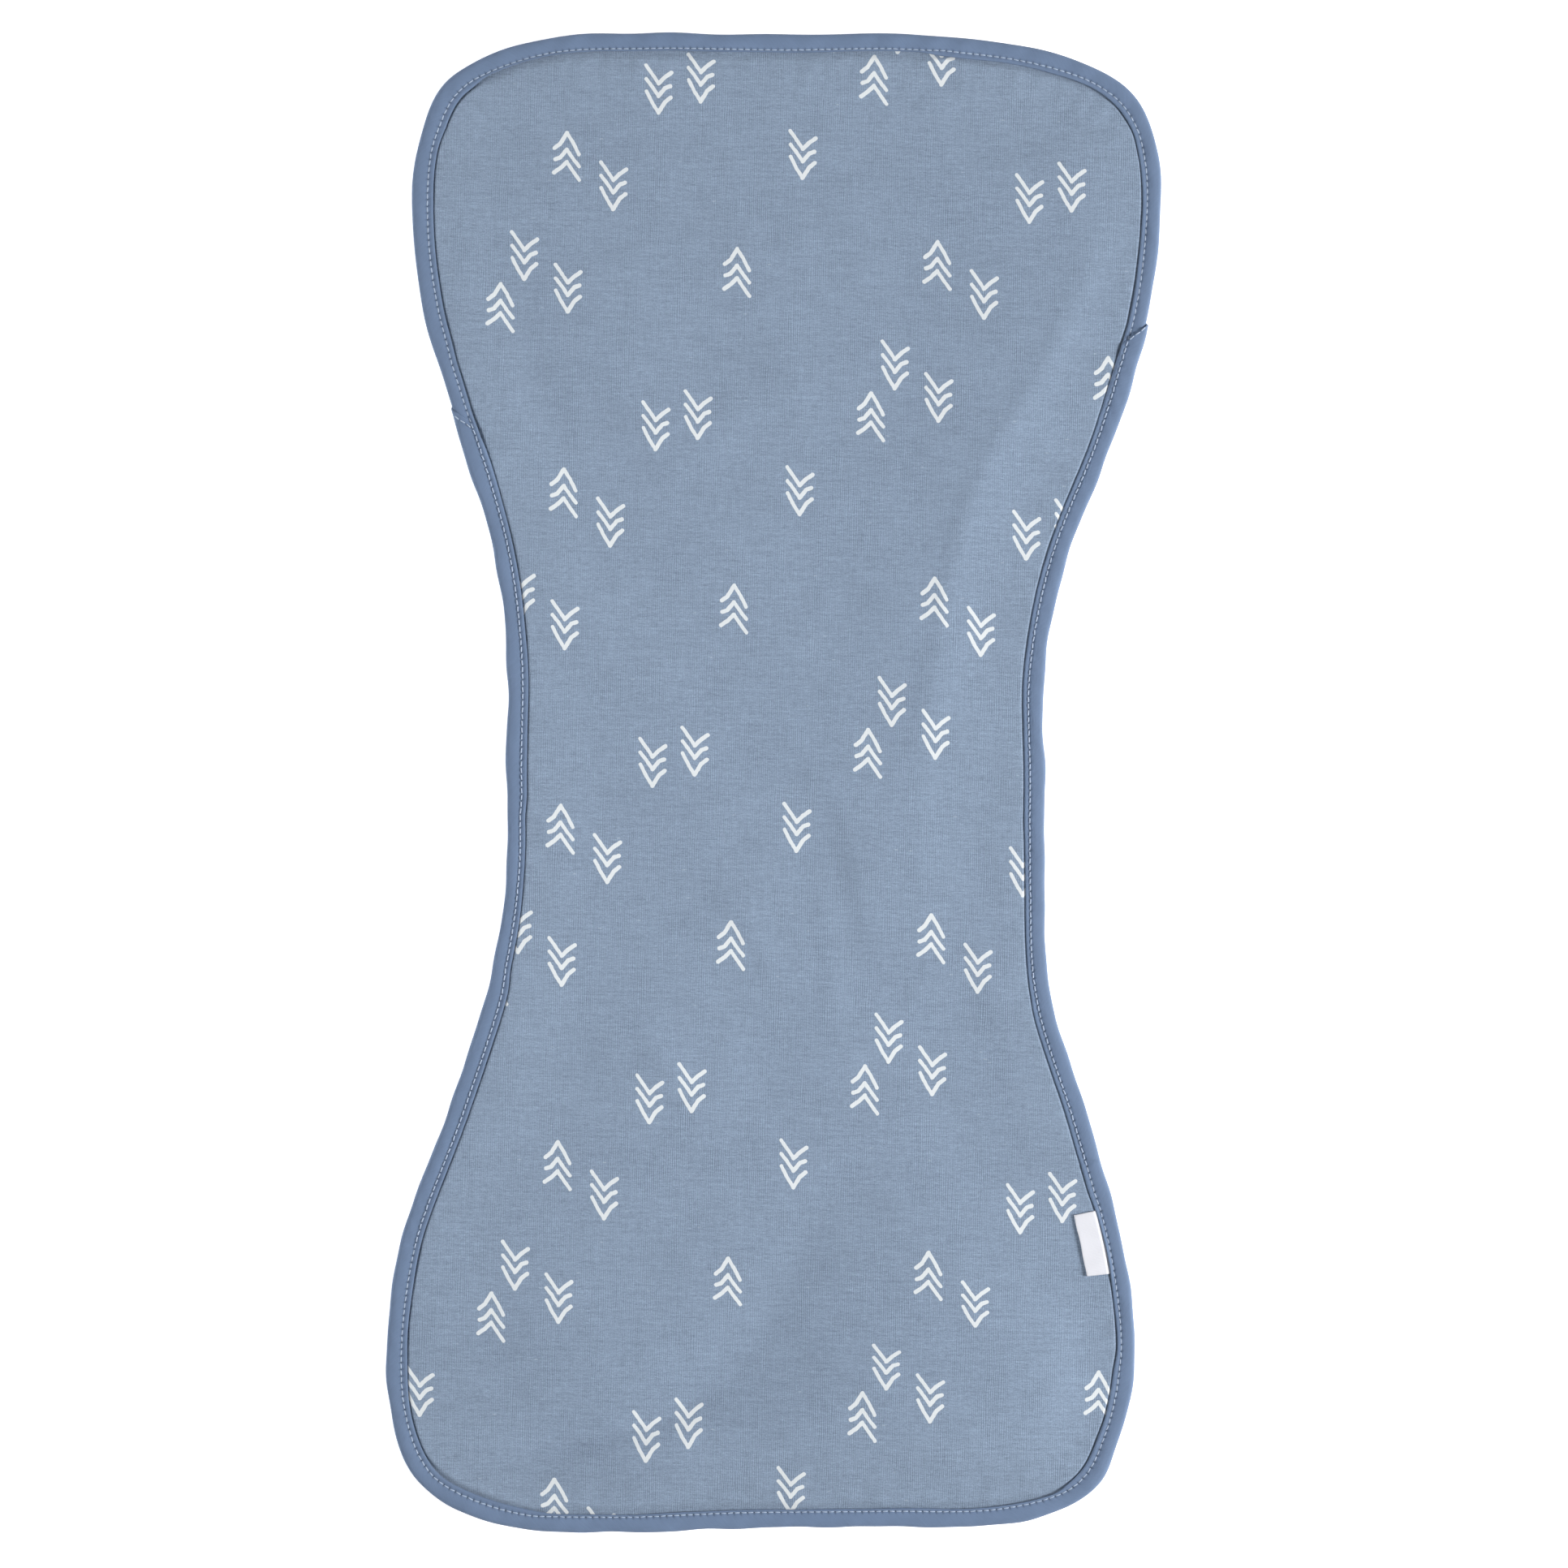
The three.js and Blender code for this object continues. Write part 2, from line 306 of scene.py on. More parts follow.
@dataclass(frozen=True)
class Layers:
    """How the plies and the tape lie over each other, and where the tapes join.

    Tuck is how much of the upper tape lies inside the lower one at a join. Slant is how far along
    the edge the folded end leans for each millimetre in from the edge. Wrap reach is how far in a
    fold that lies over another is still pushed out by it, and rise is how the cloth climbs there.
    """

    outline: Outline
    gap: float = 0.3
    tape: float = 0.6
    edge_ply: float = 1.4
    body_ply: float = 2.2
    tape_width: float = 7.0
    seam_inset: float = 5.1
    tuck: float = 16.0
    slant: float = 1.38
    slant_fade: float = 24.0
    wrap_reach: float = 3.5
    rise_run: float = 22.0
    rise_level: float = 1.0
    joins: tuple[Join, ...] = (
        Join(121.8, 158.1, Runs.CLOCKWISE, 0.5),
        Join(-111.9, 123.8, Runs.AGAINST, 2.3),
    )
    stretches: tuple[Stretch, ...] = (
        Stretch((-104.0, 243.0), (42.0, 254.0), 6.3, 5.5, 1.0),
        Stretch((60.0, 253.0), (106.0, 242.0), 7.1, 5.3, 0.5),
        Stretch((122.5, 222.0), (121.0, 158.0), 6.45, 4.85),
        Stretch((92.0, -20.0), (96.0, -66.0), 6.65, 4.95),
        Stretch((119.0, -142.0), (126.0, -186.0), 6.15, 4.75),
        Stretch((121.0, -222.0), (113.0, -237.0), 7.5, 5.4),
        Stretch((102.0, -243.5), (-66.0, -254.0), 6.35, 5.45, 1.0),
        Stretch((-84.0, -253.0), (-112.0, -240.0), 7.3, 5.35, 0.4),
        Stretch((-93.0, -62.0), (-89.5, -16.0), 6.05, 4.35),
        Stretch((-112.0, 122.0), (-116.0, 136.0), 6.5, 4.8),
        Stretch((-122.0, 222.0), (-114.0, 236.0), 7.6, 5.5),
    )
    stretch_blend: float = 11.0
    stitch_pitch: float = 2.27
    label_at: tuple[float, float] = (121.0, -150.1)
    label_half: float = 11.2
    label_blend: float = 5.0

    @cached_property
    def seam(self) -> Seam:
        """The line of topstitching."""
        return Seam(self.outline, self.seam_inset, self.stitch_pitch)

    @cached_property
    def label_run(self) -> float:
        """Distance along the edge of the label's middle."""
        return self.outline.near(*self.label_at)

    def within(self, s: np.ndarray, first: float, last: float, blend: float) -> np.ndarray:
        """1 on a stretch of the edge, easing to 0 beyond its ends.

        Args:
            s: Distance along the edge.
            first: Where the stretch starts, going clockwise.
            last: Where it ends.
            blend: How long the easing is.

        Returns:
            The share.
        """
        half_round = self.outline.length / 2.0
        half = np.mod(last - first, self.outline.length) / 2.0
        apart = np.mod(s - first - half + half_round, self.outline.length) - half_round
        return ease_down((np.abs(apart) - half) / blend)

    def at_label(self, s: np.ndarray) -> np.ndarray:
        """1 where the label is caught in the seam."""
        return self.within(s, self.label_run - self.label_half, self.label_run + self.label_half,
                           self.label_blend)

    def _varied(self, s: np.ndarray, usual: float, changes: Sequence[float]) -> np.ndarray:
        """A size that is its usual one but on the stretches.

        Args:
            s: Distance along the edge.
            usual: The usual size.
            changes: The size on each stretch.

        Returns:
            The size at each place.
        """
        size = np.full(np.shape(s), usual)
        for stretch, change in zip(self.stretches, changes):
            ends = (self.outline.near(*place) for place in (stretch.start, stretch.end))
            size = size + (change - usual) * self.within(s, *ends, self.stretch_blend)
        return size

    def tape_shown(self, s: np.ndarray) -> np.ndarray:
        """Width of the tape that shows on the printed face."""
        return self._varied(s, self.tape_width, [stretch.width for stretch in self.stretches])

    def seam_at(self, s: np.ndarray) -> np.ndarray:
        """Distance of the stitching from the tape's fold, on the printed face."""
        return self._varied(s, self.seam_inset, [stretch.seam for stretch in self.stretches])

    def groove(self, s: np.ndarray) -> np.ndarray:
        """How slowly the panel rises beside the tape, from 0 to 1."""
        return self._varied(s, 0.0, [stretch.groove for stretch in self.stretches])

    @property
    def lap(self) -> float:
        """Thickness of one wall of tape with its clear space."""
        return self.tape + self.gap

    @property
    def bound_edge(self) -> float:
        """Thickness of the bound edge."""
        return 2.0 * self.lap + self.edge_ply

    @property
    def mouth(self) -> float:
        """How far in the panel leaves the tape's fold."""
        return self.tape_width + self.lap

    @cached_property
    def join_runs(self) -> tuple[float, float]:
        """Distances along the edge of the right join and the left join."""
        right, left = (self.outline.near(join.x, join.y) for join in self.joins)
        return right, left

    def past_join(self, index: int, s: np.ndarray) -> np.ndarray:
        """Signed distance from a join, growing the way the lower tape runs.

        Args:
            index: 0 for the right join, 1 for the left one.
            s: Distance along the edge.

        Returns:
            The signed distance.
        """
        half = self.outline.length / 2.0
        apart = np.mod(s - self.join_runs[index] + half, self.outline.length) - half
        return self.joins[index].runs.value * apart

    def wrapped(self, w: np.ndarray | float) -> np.ndarray:
        """Share of the shift between two folds, one inside the other, at a distance in from them."""
        return np.clip(1.0 - np.asarray(w) / self.wrap_reach, -0.5, 1.0)

    def rise(self, s: np.ndarray | float) -> np.ndarray:
        """Share of the full rise over the doubled tape near a join.

        Args:
            s: Distance along the edge.

        Returns:
            0 away from the joins and 1 over the tucked ends.
        """
        low = -self.tape_width - self.rise_level
        high = self.tuck + self.rise_level
        rises = []
        for index in range(len(self.joins)):
            past = self.past_join(index, np.asarray(s, float))
            rises.append(ease_down(np.maximum(low - past, past - high) / self.rise_run))
        return np.maximum(*rises)


@dataclass(frozen=True)
class Fold:
    """A soft fold of the panel. It rises to a crest and falls away on both sides of it.

    Rows of route are x, y, the crest's height, and how far the fold reaches to the left and to the
    right of someone who walks the route from its first place to its last.
    """

    route: tuple[tuple[float, float, float, float, float], ...]
    crest: float = 1.5
    power: float = 1.6
    steps: int = 6

    @cached_property
    def _walk(self) -> np.ndarray:
        """The route with places put between its own, on a smooth curve through them."""
        rows = np.array(self.route)
        ends = [2.0 * rows[0] - rows[1], 2.0 * rows[-1] - rows[-2]]
        rows = np.vstack([ends[0], rows, ends[1]])
        before, start, end, after = (rows[i:len(rows) - 3 + i, None, :] for i in range(4))
        t = np.arange(self.steps)[None, :, None] / self.steps
        walk = start + 0.5 * t * (end - before
                                  + t * (2 * before - 5 * start + 4 * end - after)
                                  + t * t * (3 * start - 3 * end + after - before))
        return np.vstack([walk.reshape(-1, rows.shape[1]), rows[-2]])

    def lift(self, x: np.ndarray, y: np.ndarray) -> np.ndarray:
        """Height of the fold at each place.

        Args:
            x: Places across the cloth.
            y: Places along the cloth.

        Returns:
            The lift of the panel.
        """
        nearest = np.full(x.shape, np.inf)
        lift = np.zeros(x.shape)
        for first, last in zip(self._walk, self._walk[1:]):
            run_x, run_y = last[:2] - first[:2]
            from_x, from_y = x - first[0], y - first[1]
            size = math.hypot(run_x, run_y)
            held = np.clip((from_x * run_x + from_y * run_y) / size ** 2, 0.0, 1.0)
            far = np.hypot(from_x - held * run_x, from_y - held * run_y)
            beside = (from_x * run_y - from_y * run_x) / size / np.maximum(far, 1e-6)
            high, left, right = (low + (top - low) * held for low, top in zip(first[2:], last[2:]))
            closer = far < nearest
            share = self._share(far, np.clip(beside, -1.0, 1.0), left, right)
            lift = np.where(closer, high * share, lift)
            nearest = np.where(closer, far, nearest)
        return lift

    def _share(self, far: np.ndarray, beside: np.ndarray, left: np.ndarray,
               right: np.ndarray) -> np.ndarray:
        """Share of the crest's height at a distance from the route.

        Args:
            far: Distance from the nearest place of the route.
            beside: 1 straight to the right of the route and -1 straight to its left.
            left: Reach on the left.
            right: Reach on the right.

        Returns:
            The share.
        """
        reach = left + (right - left) * (0.5 + 0.5 * beside)
        fallen = (np.hypot(far, self.crest) - self.crest) / (np.hypot(reach, self.crest) - self.crest)
        return np.clip(1.0 - fallen, 0.0, 1.0) ** self.power


@dataclass(frozen=True)
class Terrace(Fold):
    """A soft step of the panel: flat on the right of its route and raised on the left.

    The left reach is where it is fully up, and the right one is how far it falls away past there.
    """

    def _share(self, far: np.ndarray, beside: np.ndarray, left: np.ndarray,
               right: np.ndarray) -> np.ndarray:
        """Share of the full height, steepest at the foot."""
        climb = 1.0 - (1.0 - np.minimum(far / left, 1.0)) ** self.power
        return climb * ease_down((far - left) / right) * np.clip(-beside, 0.0, 1.0)


def crease(left: float, right: float, *places: tuple[float, float, float], crest: float = 1.5) -> Fold:
    """Makes a fine fold that reaches as far from its crest all along it.

    Args:
        left: Reach on the left.
        right: Reach on the right.
        places: Rows of x, y and the crest's height.
        crest: How broad the crest is.

    Returns:
        The fold.
    """
    return Fold(tuple((*place, left, right) for place in places), crest)


@dataclass(frozen=True)
class Relief:
    """Heights of the panel's two faces.

    Folds lift the whole panel, and creases and the two wavers mark its printed face alone. Near the
    tape the panel is held flat, and small pleats run out from the seam.
    """

    layers: Layers
    folds: tuple[Fold, ...] = (
        Fold(((119.0, 214.0, 0.6, 30.0, 70.0), (111.8, 195.9, 2.1, 32.0, 80.0),
              (90.0, 150.0, 2.6, 36.0, 80.0), (67.5, 107.0, 2.4, 36.0, 80.0),
              (57.4, 74.0, 1.9, 36.0, 80.0), (54.0, 48.0, 1.2, 34.0, 70.0),
              (50.0, 32.0, 0.3, 30.0, 60.0))),
        Fold(((66.0, 62.0, 0.5, 30.0, 50.0), (55.0, 38.0, 1.8, 34.0, 60.0),
              (50.0, 18.0, 2.0, 38.0, 60.0), (48.5, -10.0, 1.6, 38.0, 60.0),
              (52.0, -44.0, 0.3, 30.0, 50.0))),
        Terrace(((38.0, -104.0, 0.1, 46.0, 60.0), (29.0, -124.0, 1.7, 54.0, 70.0),
                 (18.0, -146.0, 3.5, 62.0, 96.0), (8.0, -168.0, 4.8, 66.0, 96.0),
                 (0.0, -189.0, 5.2, 62.0, 76.0), (-15.0, -206.0, 5.8, 48.0, 64.0),
                 (-34.0, -217.0, 6.2, 26.0, 60.0), (-58.0, -223.0, 4.4, 15.0, 60.0),
                 (-80.0, -228.0, 2.0, 12.0, 60.0), (-100.0, -236.0, 0.1, 12.0, 60.0)), power=1.8),
        Fold(((-112.0, -218.0, 0.2, 40.0, 14.0), (-88.0, -210.0, 1.3, 50.0, 18.0),
              (-56.0, -204.0, 1.7, 60.0, 18.0), (-26.0, -190.0, 0.9, 60.0, 16.0),
              (-6.0, -164.0, 0.3, 50.0, 12.0), (4.0, -144.0, 0.1, 40.0, 10.0)), crest=6.0, power=1.2),
    )
    creases: tuple[Fold, ...] = (
        crease(12.0, 5.5, (111.8, 195.9, 0.25), (90.0, 150.0, 0.4), (67.5, 107.0, 0.5),
               (57.4, 74.0, 0.5), (54.0, 48.0, 0.37), (49.0, 26.0, 0.25), crest=1.0),
        crease(18.0, 7.0, (8.0, 10.0, 0.12), (20.8, -4.0, 0.55), (27.0, -22.0, 0.78),
               (31.2, -39.6, 0.69), (35.0, -56.0, 0.12)),
        crease(9.0, 5.0, (13.9, -27.0, 0.05), (17.6, -42.0, 0.45), (20.4, -65.0, 0.45),
               (21.9, -86.0, 0.05)),
        crease(14.0, 5.0, (-18.0, -38.0, 0.05), (-13.0, -43.7, 0.5), (-5.4, -52.0, 0.62),
               (-0.8, -61.4, 0.44), (3.0, -70.0, 0.05)),
        crease(16.0, 8.0, (-50.0, -76.0, 0.12), (-38.0, -90.0, 0.62), (-26.0, -108.0, 0.37),
               (-20.0, -120.0, 0.05)),
        crease(14.0, 6.0, (70.0, -44.0, 0.12), (73.0, -62.0, 0.5), (80.0, -84.0, 0.37),
               (86.0, -100.0, 0.05)),
        crease(7.0, 7.0, (-28.0, 118.0, 0.12), (-19.0, 121.0, 0.56), (-10.0, 126.0, 0.12)),
    )
    fold_free: float = 7.6
    fold_full: float = 31.0
    settle_run: float = 26.0
    slow: Waver = field(default_factory=lambda: Waver(seed=3, length=55.0))
    quick: Waver = field(default_factory=lambda: Waver(seed=5, length=21.0))
    pleats: Waver = field(default_factory=lambda: Waver(seed=11, length=9.0))
    slow_height: float = 0.22
    quick_height: float = 0.07
    pleat_height: float = 0.2
    pleat_reach: float = 9.0
    pleat_slope: float = 0.35
    ply_clear: float = 0.05
    ply_run: float = 0.75
    groove_run: float = 2.6

    def under(self, s: np.ndarray, w: np.ndarray, x: np.ndarray, y: np.ndarray) -> np.ndarray:
        """Height of the underside.

        Args:
            s: Distance along the edge.
            w: Distance in from the edge.
            x: Place across the cloth.
            y: Place along the cloth.

        Returns:
            The height above the table.
        """
        layers = self.layers
        let_go = ease_down((w - layers.mouth) / self.settle_run)
        held = layers.lap * (1.0 + layers.rise(s)) * let_go
        lift = sum(fold.lift(x, y) for fold in self.folds)
        return held + lift * self._free(w)

    def _free(self, w: np.ndarray) -> np.ndarray:
        """How free the panel is of its binding: 0 near the tape and 1 in the open."""
        return 1.0 - ease_down((w - self.fold_free) / (self.fold_full - self.fold_free))

    def ply(self, s: np.ndarray, w: np.ndarray) -> np.ndarray:
        """Thickness of the panel: pressed thin inside the tape and full soon past it.

        Args:
            s: Distance along the edge.
            w: Distance in from the edge.

        Returns:
            The thickness.
        """
        layers = self.layers
        run = self.ply_run + self.groove_run * layers.groove(s)
        pressed = ease_down((w - layers.tape_shown(s) - self.ply_clear) / run)
        return layers.body_ply + (layers.edge_ply - layers.body_ply) * pressed

    def face(self, s: np.ndarray, w: np.ndarray, x: np.ndarray, y: np.ndarray) -> np.ndarray:
        """Height of the printed face, with its finer unevenness.

        Args:
            s: Distance along the edge.
            w: Distance in from the edge.
            x: Place across the cloth.
            y: Place along the cloth.

        Returns:
            The height above the table.
        """
        fine = sum(fold.lift(x, y) for fold in self.creases)
        fine = fine + self.slow_height * self.slow.at(x, y) + self.quick_height * self.quick.at(x, y)
        past = np.maximum(w - self.layers.mouth, 0.0)
        near_tape = np.exp(-past / self.pleat_reach) * (1.0 - np.exp(-past))
        pleat = self.pleat_height * self.pleats.at(s, self.pleat_slope * w) * near_tape
        return self.under(s, w, x, y) + self.ply(s, w) + fine * self._free(w) + pleat


class Bench:
    """Adds nodes to one tree and joins them up."""

    def __init__(self, tree: bpy.types.NodeTree) -> None:
        """Takes the tree that the nodes go into."""
        self.tree = tree

    def node(self, kind: str, settings: dict | None = None, feeds: dict | None = None) -> bpy.types.Node:
        """Adds one node.

        Args:
            kind: The node's type.
            settings: Its properties, which are set first.
            feeds: Values or wires for its inputs, by name or index.

        Returns:
            The new node.
        """
        made = self.tree.nodes.new(kind)
        for name, value in (settings or {}).items():
            setattr(made, name, value)
        for key, value in (feeds or {}).items():
            if isinstance(value, Wire):
                self.tree.links.new(value.socket, made.inputs[key])
            else:
                made.inputs[key].default_value = value
        return made

    def wire(self, kind: str, settings: dict | None = None, feeds: dict | None = None,
             out: int | str = 0) -> "Wire":
        """Adds one node and gives the wire from one of its outputs.

        Args:
            kind: The node's type.
            settings: Its properties.
            feeds: Values or wires for its inputs.
            out: The output, by index or name.

        Returns:
            The output's wire.
        """
        return Wire(self, self.node(kind, settings, feeds).outputs[out])

    def vector(self, operation: str, *terms: object, scale: object = None, number: bool = False) -> "Wire":
        """Vector arithmetic.

        Args:
            operation: The Vector Math operation.
            terms: Its vectors, in order.
            scale: The factor of a SCALE operation.
            number: Whether the result is a number and not a vector.

        Returns:
            The result's wire.
        """
        feeds = dict(enumerate(terms))
        if scale is not None:
            feeds["Scale"] = scale
        return self.wire("ShaderNodeVectorMath", {"operation": operation}, feeds, out=1 if number else 0)

    def join(self, **parts: object) -> "Wire":
        """Joins numbers, named X, Y and Z, into a vector. One that isn't given is 0."""
        return self.wire("ShaderNodeCombineXYZ", None, parts)

    def split(self, vector: "Wire") -> list["Wire"]:
        """Parts a vector into its three numbers."""
        return [Wire(self, out) for out in self.node("ShaderNodeSeparateXYZ", None, {0: vector}).outputs]

    def dot(self, vector: "Wire", row: Sequence[float]) -> "Wire":
        """Dot product of a flat vector and a row of two numbers."""
        return self.vector("DOT_PRODUCT", vector, (*row, 0.0), number=True)

    def stretched(self, place: "Wire", across: float, along: float) -> "Wire":
        """A flat place, scaled by a pace for each of its two ways."""
        return self.vector("MULTIPLY", place, (across, along, 0.0))

    def blend(self, share: object, first: object, second: object) -> "Wire":
        """Mixes two colours, from the first at 0 to the second at 1."""
        return self.wire("ShaderNodeMix", {"data_type": "RGBA"}, {0: share, 6: first, 7: second}, out=2)

    def choose(self, share: object, first: object, second: object) -> "Wire":
        """Takes the first vector at 0 and the second at 1."""
        return self.wire("ShaderNodeMix", {"data_type": "VECTOR"}, {0: share, 4: first, 5: second}, out=1)

    def noise(self, at: "Wire", detail: float = 2.0, roughness: float = 0.5) -> "Wire":
        """Soft noise between 0 and 1, one lump in about one unit."""
        return self.wire("ShaderNodeTexNoise", None,
                         {"Vector": at, "Scale": 1.0, "Detail": detail, "Roughness": roughness})

    def wave(self, at: "Wire", length: float) -> "Wire":
        """Even ripples between -1 and 1, each as long as is given."""
        return (at * (2.0 * math.pi / length)).sine()

    def smooth(self, value: "Wire", low: float, high: float) -> "Wire":
        """Smooth step from 0 at low to 1 at high."""
        return self.wire("ShaderNodeMapRange", {"interpolation_type": "SMOOTHSTEP"},
                         {"Value": value, "From Min": low, "From Max": high})


@dataclass(frozen=True)
class Wire:
    """One output of a node. Arithmetic on it adds Math nodes."""

    bench: Bench
    socket: bpy.types.NodeSocket

    def math(self, operation: str, *terms: object) -> "Wire":
        """Adds a Math node on the given terms."""
        return self.bench.wire("ShaderNodeMath", {"operation": operation}, dict(enumerate(terms)))

    def __add__(self, other: object) -> "Wire":
        """Sum."""
        return self.math("ADD", self, other)

    __radd__ = __add__

    def __sub__(self, other: object) -> "Wire":
        """Difference."""
        return self.math("SUBTRACT", self, other)

    def __rsub__(self, other: object) -> "Wire":
        """Difference from a number."""
        return self.math("SUBTRACT", other, self)

    def __mul__(self, other: object) -> "Wire":
        """Product."""
        return self.math("MULTIPLY", self, other)

    __rmul__ = __mul__

    def sine(self) -> "Wire":
        """Sine."""
        return self.math("SINE", self)

    def least(self, other: object) -> "Wire":
        """The smaller of two."""
        return self.math("MINIMUM", self, other)

    def below(self, other: object) -> "Wire":
        """1 where this is less than the other, else 0."""
        return self.math("LESS_THAN", self, other)


def rgb(red: int, green: int, blue: int) -> tuple[float, float, float, float]:
    """A screen colour as the linear colour that shaders take.

    Args:
        red: 0 to 255.
        green: 0 to 255.
        blue: 0 to 255.

    Returns:
        The linear colour, opaque.
    """
    def linear(level: int) -> float:
        """One channel."""
        share = level / 255.0
        return share / 12.92 if share <= 0.04045 else ((share + 0.055) / 1.055) ** 2.4
    return linear(red), linear(green), linear(blue), 1.0


class Finish:
    """A procedural material under way: one Principled shader, its bench and its cloth's places."""

    def __init__(self, name: str, roughness: float, sheen: float) -> None:
        """Makes the material.

        Args:
            name: The material's name.
            roughness: Roughness all over.
            sheen: Strength of the soft sheen of fibre ends.
        """
        self.material = bpy.data.materials.new(name)
        self.material.use_nodes = True
        self.material.node_tree.nodes.clear()
        self.bench = Bench(self.material.node_tree)
        self.shader = self.bench.node("ShaderNodeBsdfPrincipled", None, {
            "Roughness": roughness, "Sheen Weight": sheen, "Sheen Roughness": 0.5,
            "Specular IOR Level": 0.25})
        surface = Wire(self.bench, self.shader.outputs[0])
        self.bench.node("ShaderNodeOutputMaterial", None, {"Surface": surface})

    def in_frame(self) -> Wire:
        """Place in the frame, in millimetres."""
        at = self.bench.wire("ShaderNodeTexCoord", out="Object")
        return self.bench.vector("SCALE", at, scale=1.0 / MM)

    def on_cloth(self) -> Wire:
        """Place on the flat cloth, in millimetres, along it and across it."""
        return self.bench.vector("SCALE", self.bench.wire("ShaderNodeUVMap"), scale=1.0 / MM)

    def painted_light_factor(self) -> Wire:
        """Factor on the colour from the painted shade and painted light stored at the corners."""
        return 1.0 - self.bench.wire("ShaderNodeAttribute", {"attribute_name": "shade"}, out="Fac")

    def tint(self, colour: tuple[int, int, int], tone: Wire) -> Wire:
        """A screen colour, made lighter or darker."""
        return self.bench.vector("SCALE", rgb(*colour)[:3], scale=tone)

    def dress(self, colour: Wire, height: Wire, strength: float, depth: float) -> bpy.types.Material:
        """Feeds the shader its colour and its relief.

        Args:
            colour: The colour.
            height: The relief's height, as a share.
            strength: The bump's strength.
            depth: The depth that the whole relief stands for, in millimetres.

        Returns:
            The material.
        """
        bump = self.bench.wire("ShaderNodeBump", None, {
            "Height": height, "Strength": strength, "Distance": depth * MM})
        for wire, name in ((colour, "Base Color"), (bump, "Normal")):
            self.bench.tree.links.new(wire.socket, self.shader.inputs[name])
        return self.material


@dataclass(frozen=True)
class Motif:
    """Where one motif of the print sits in the repeat, and which way it points."""

    x: float
    y: float
    way: Way


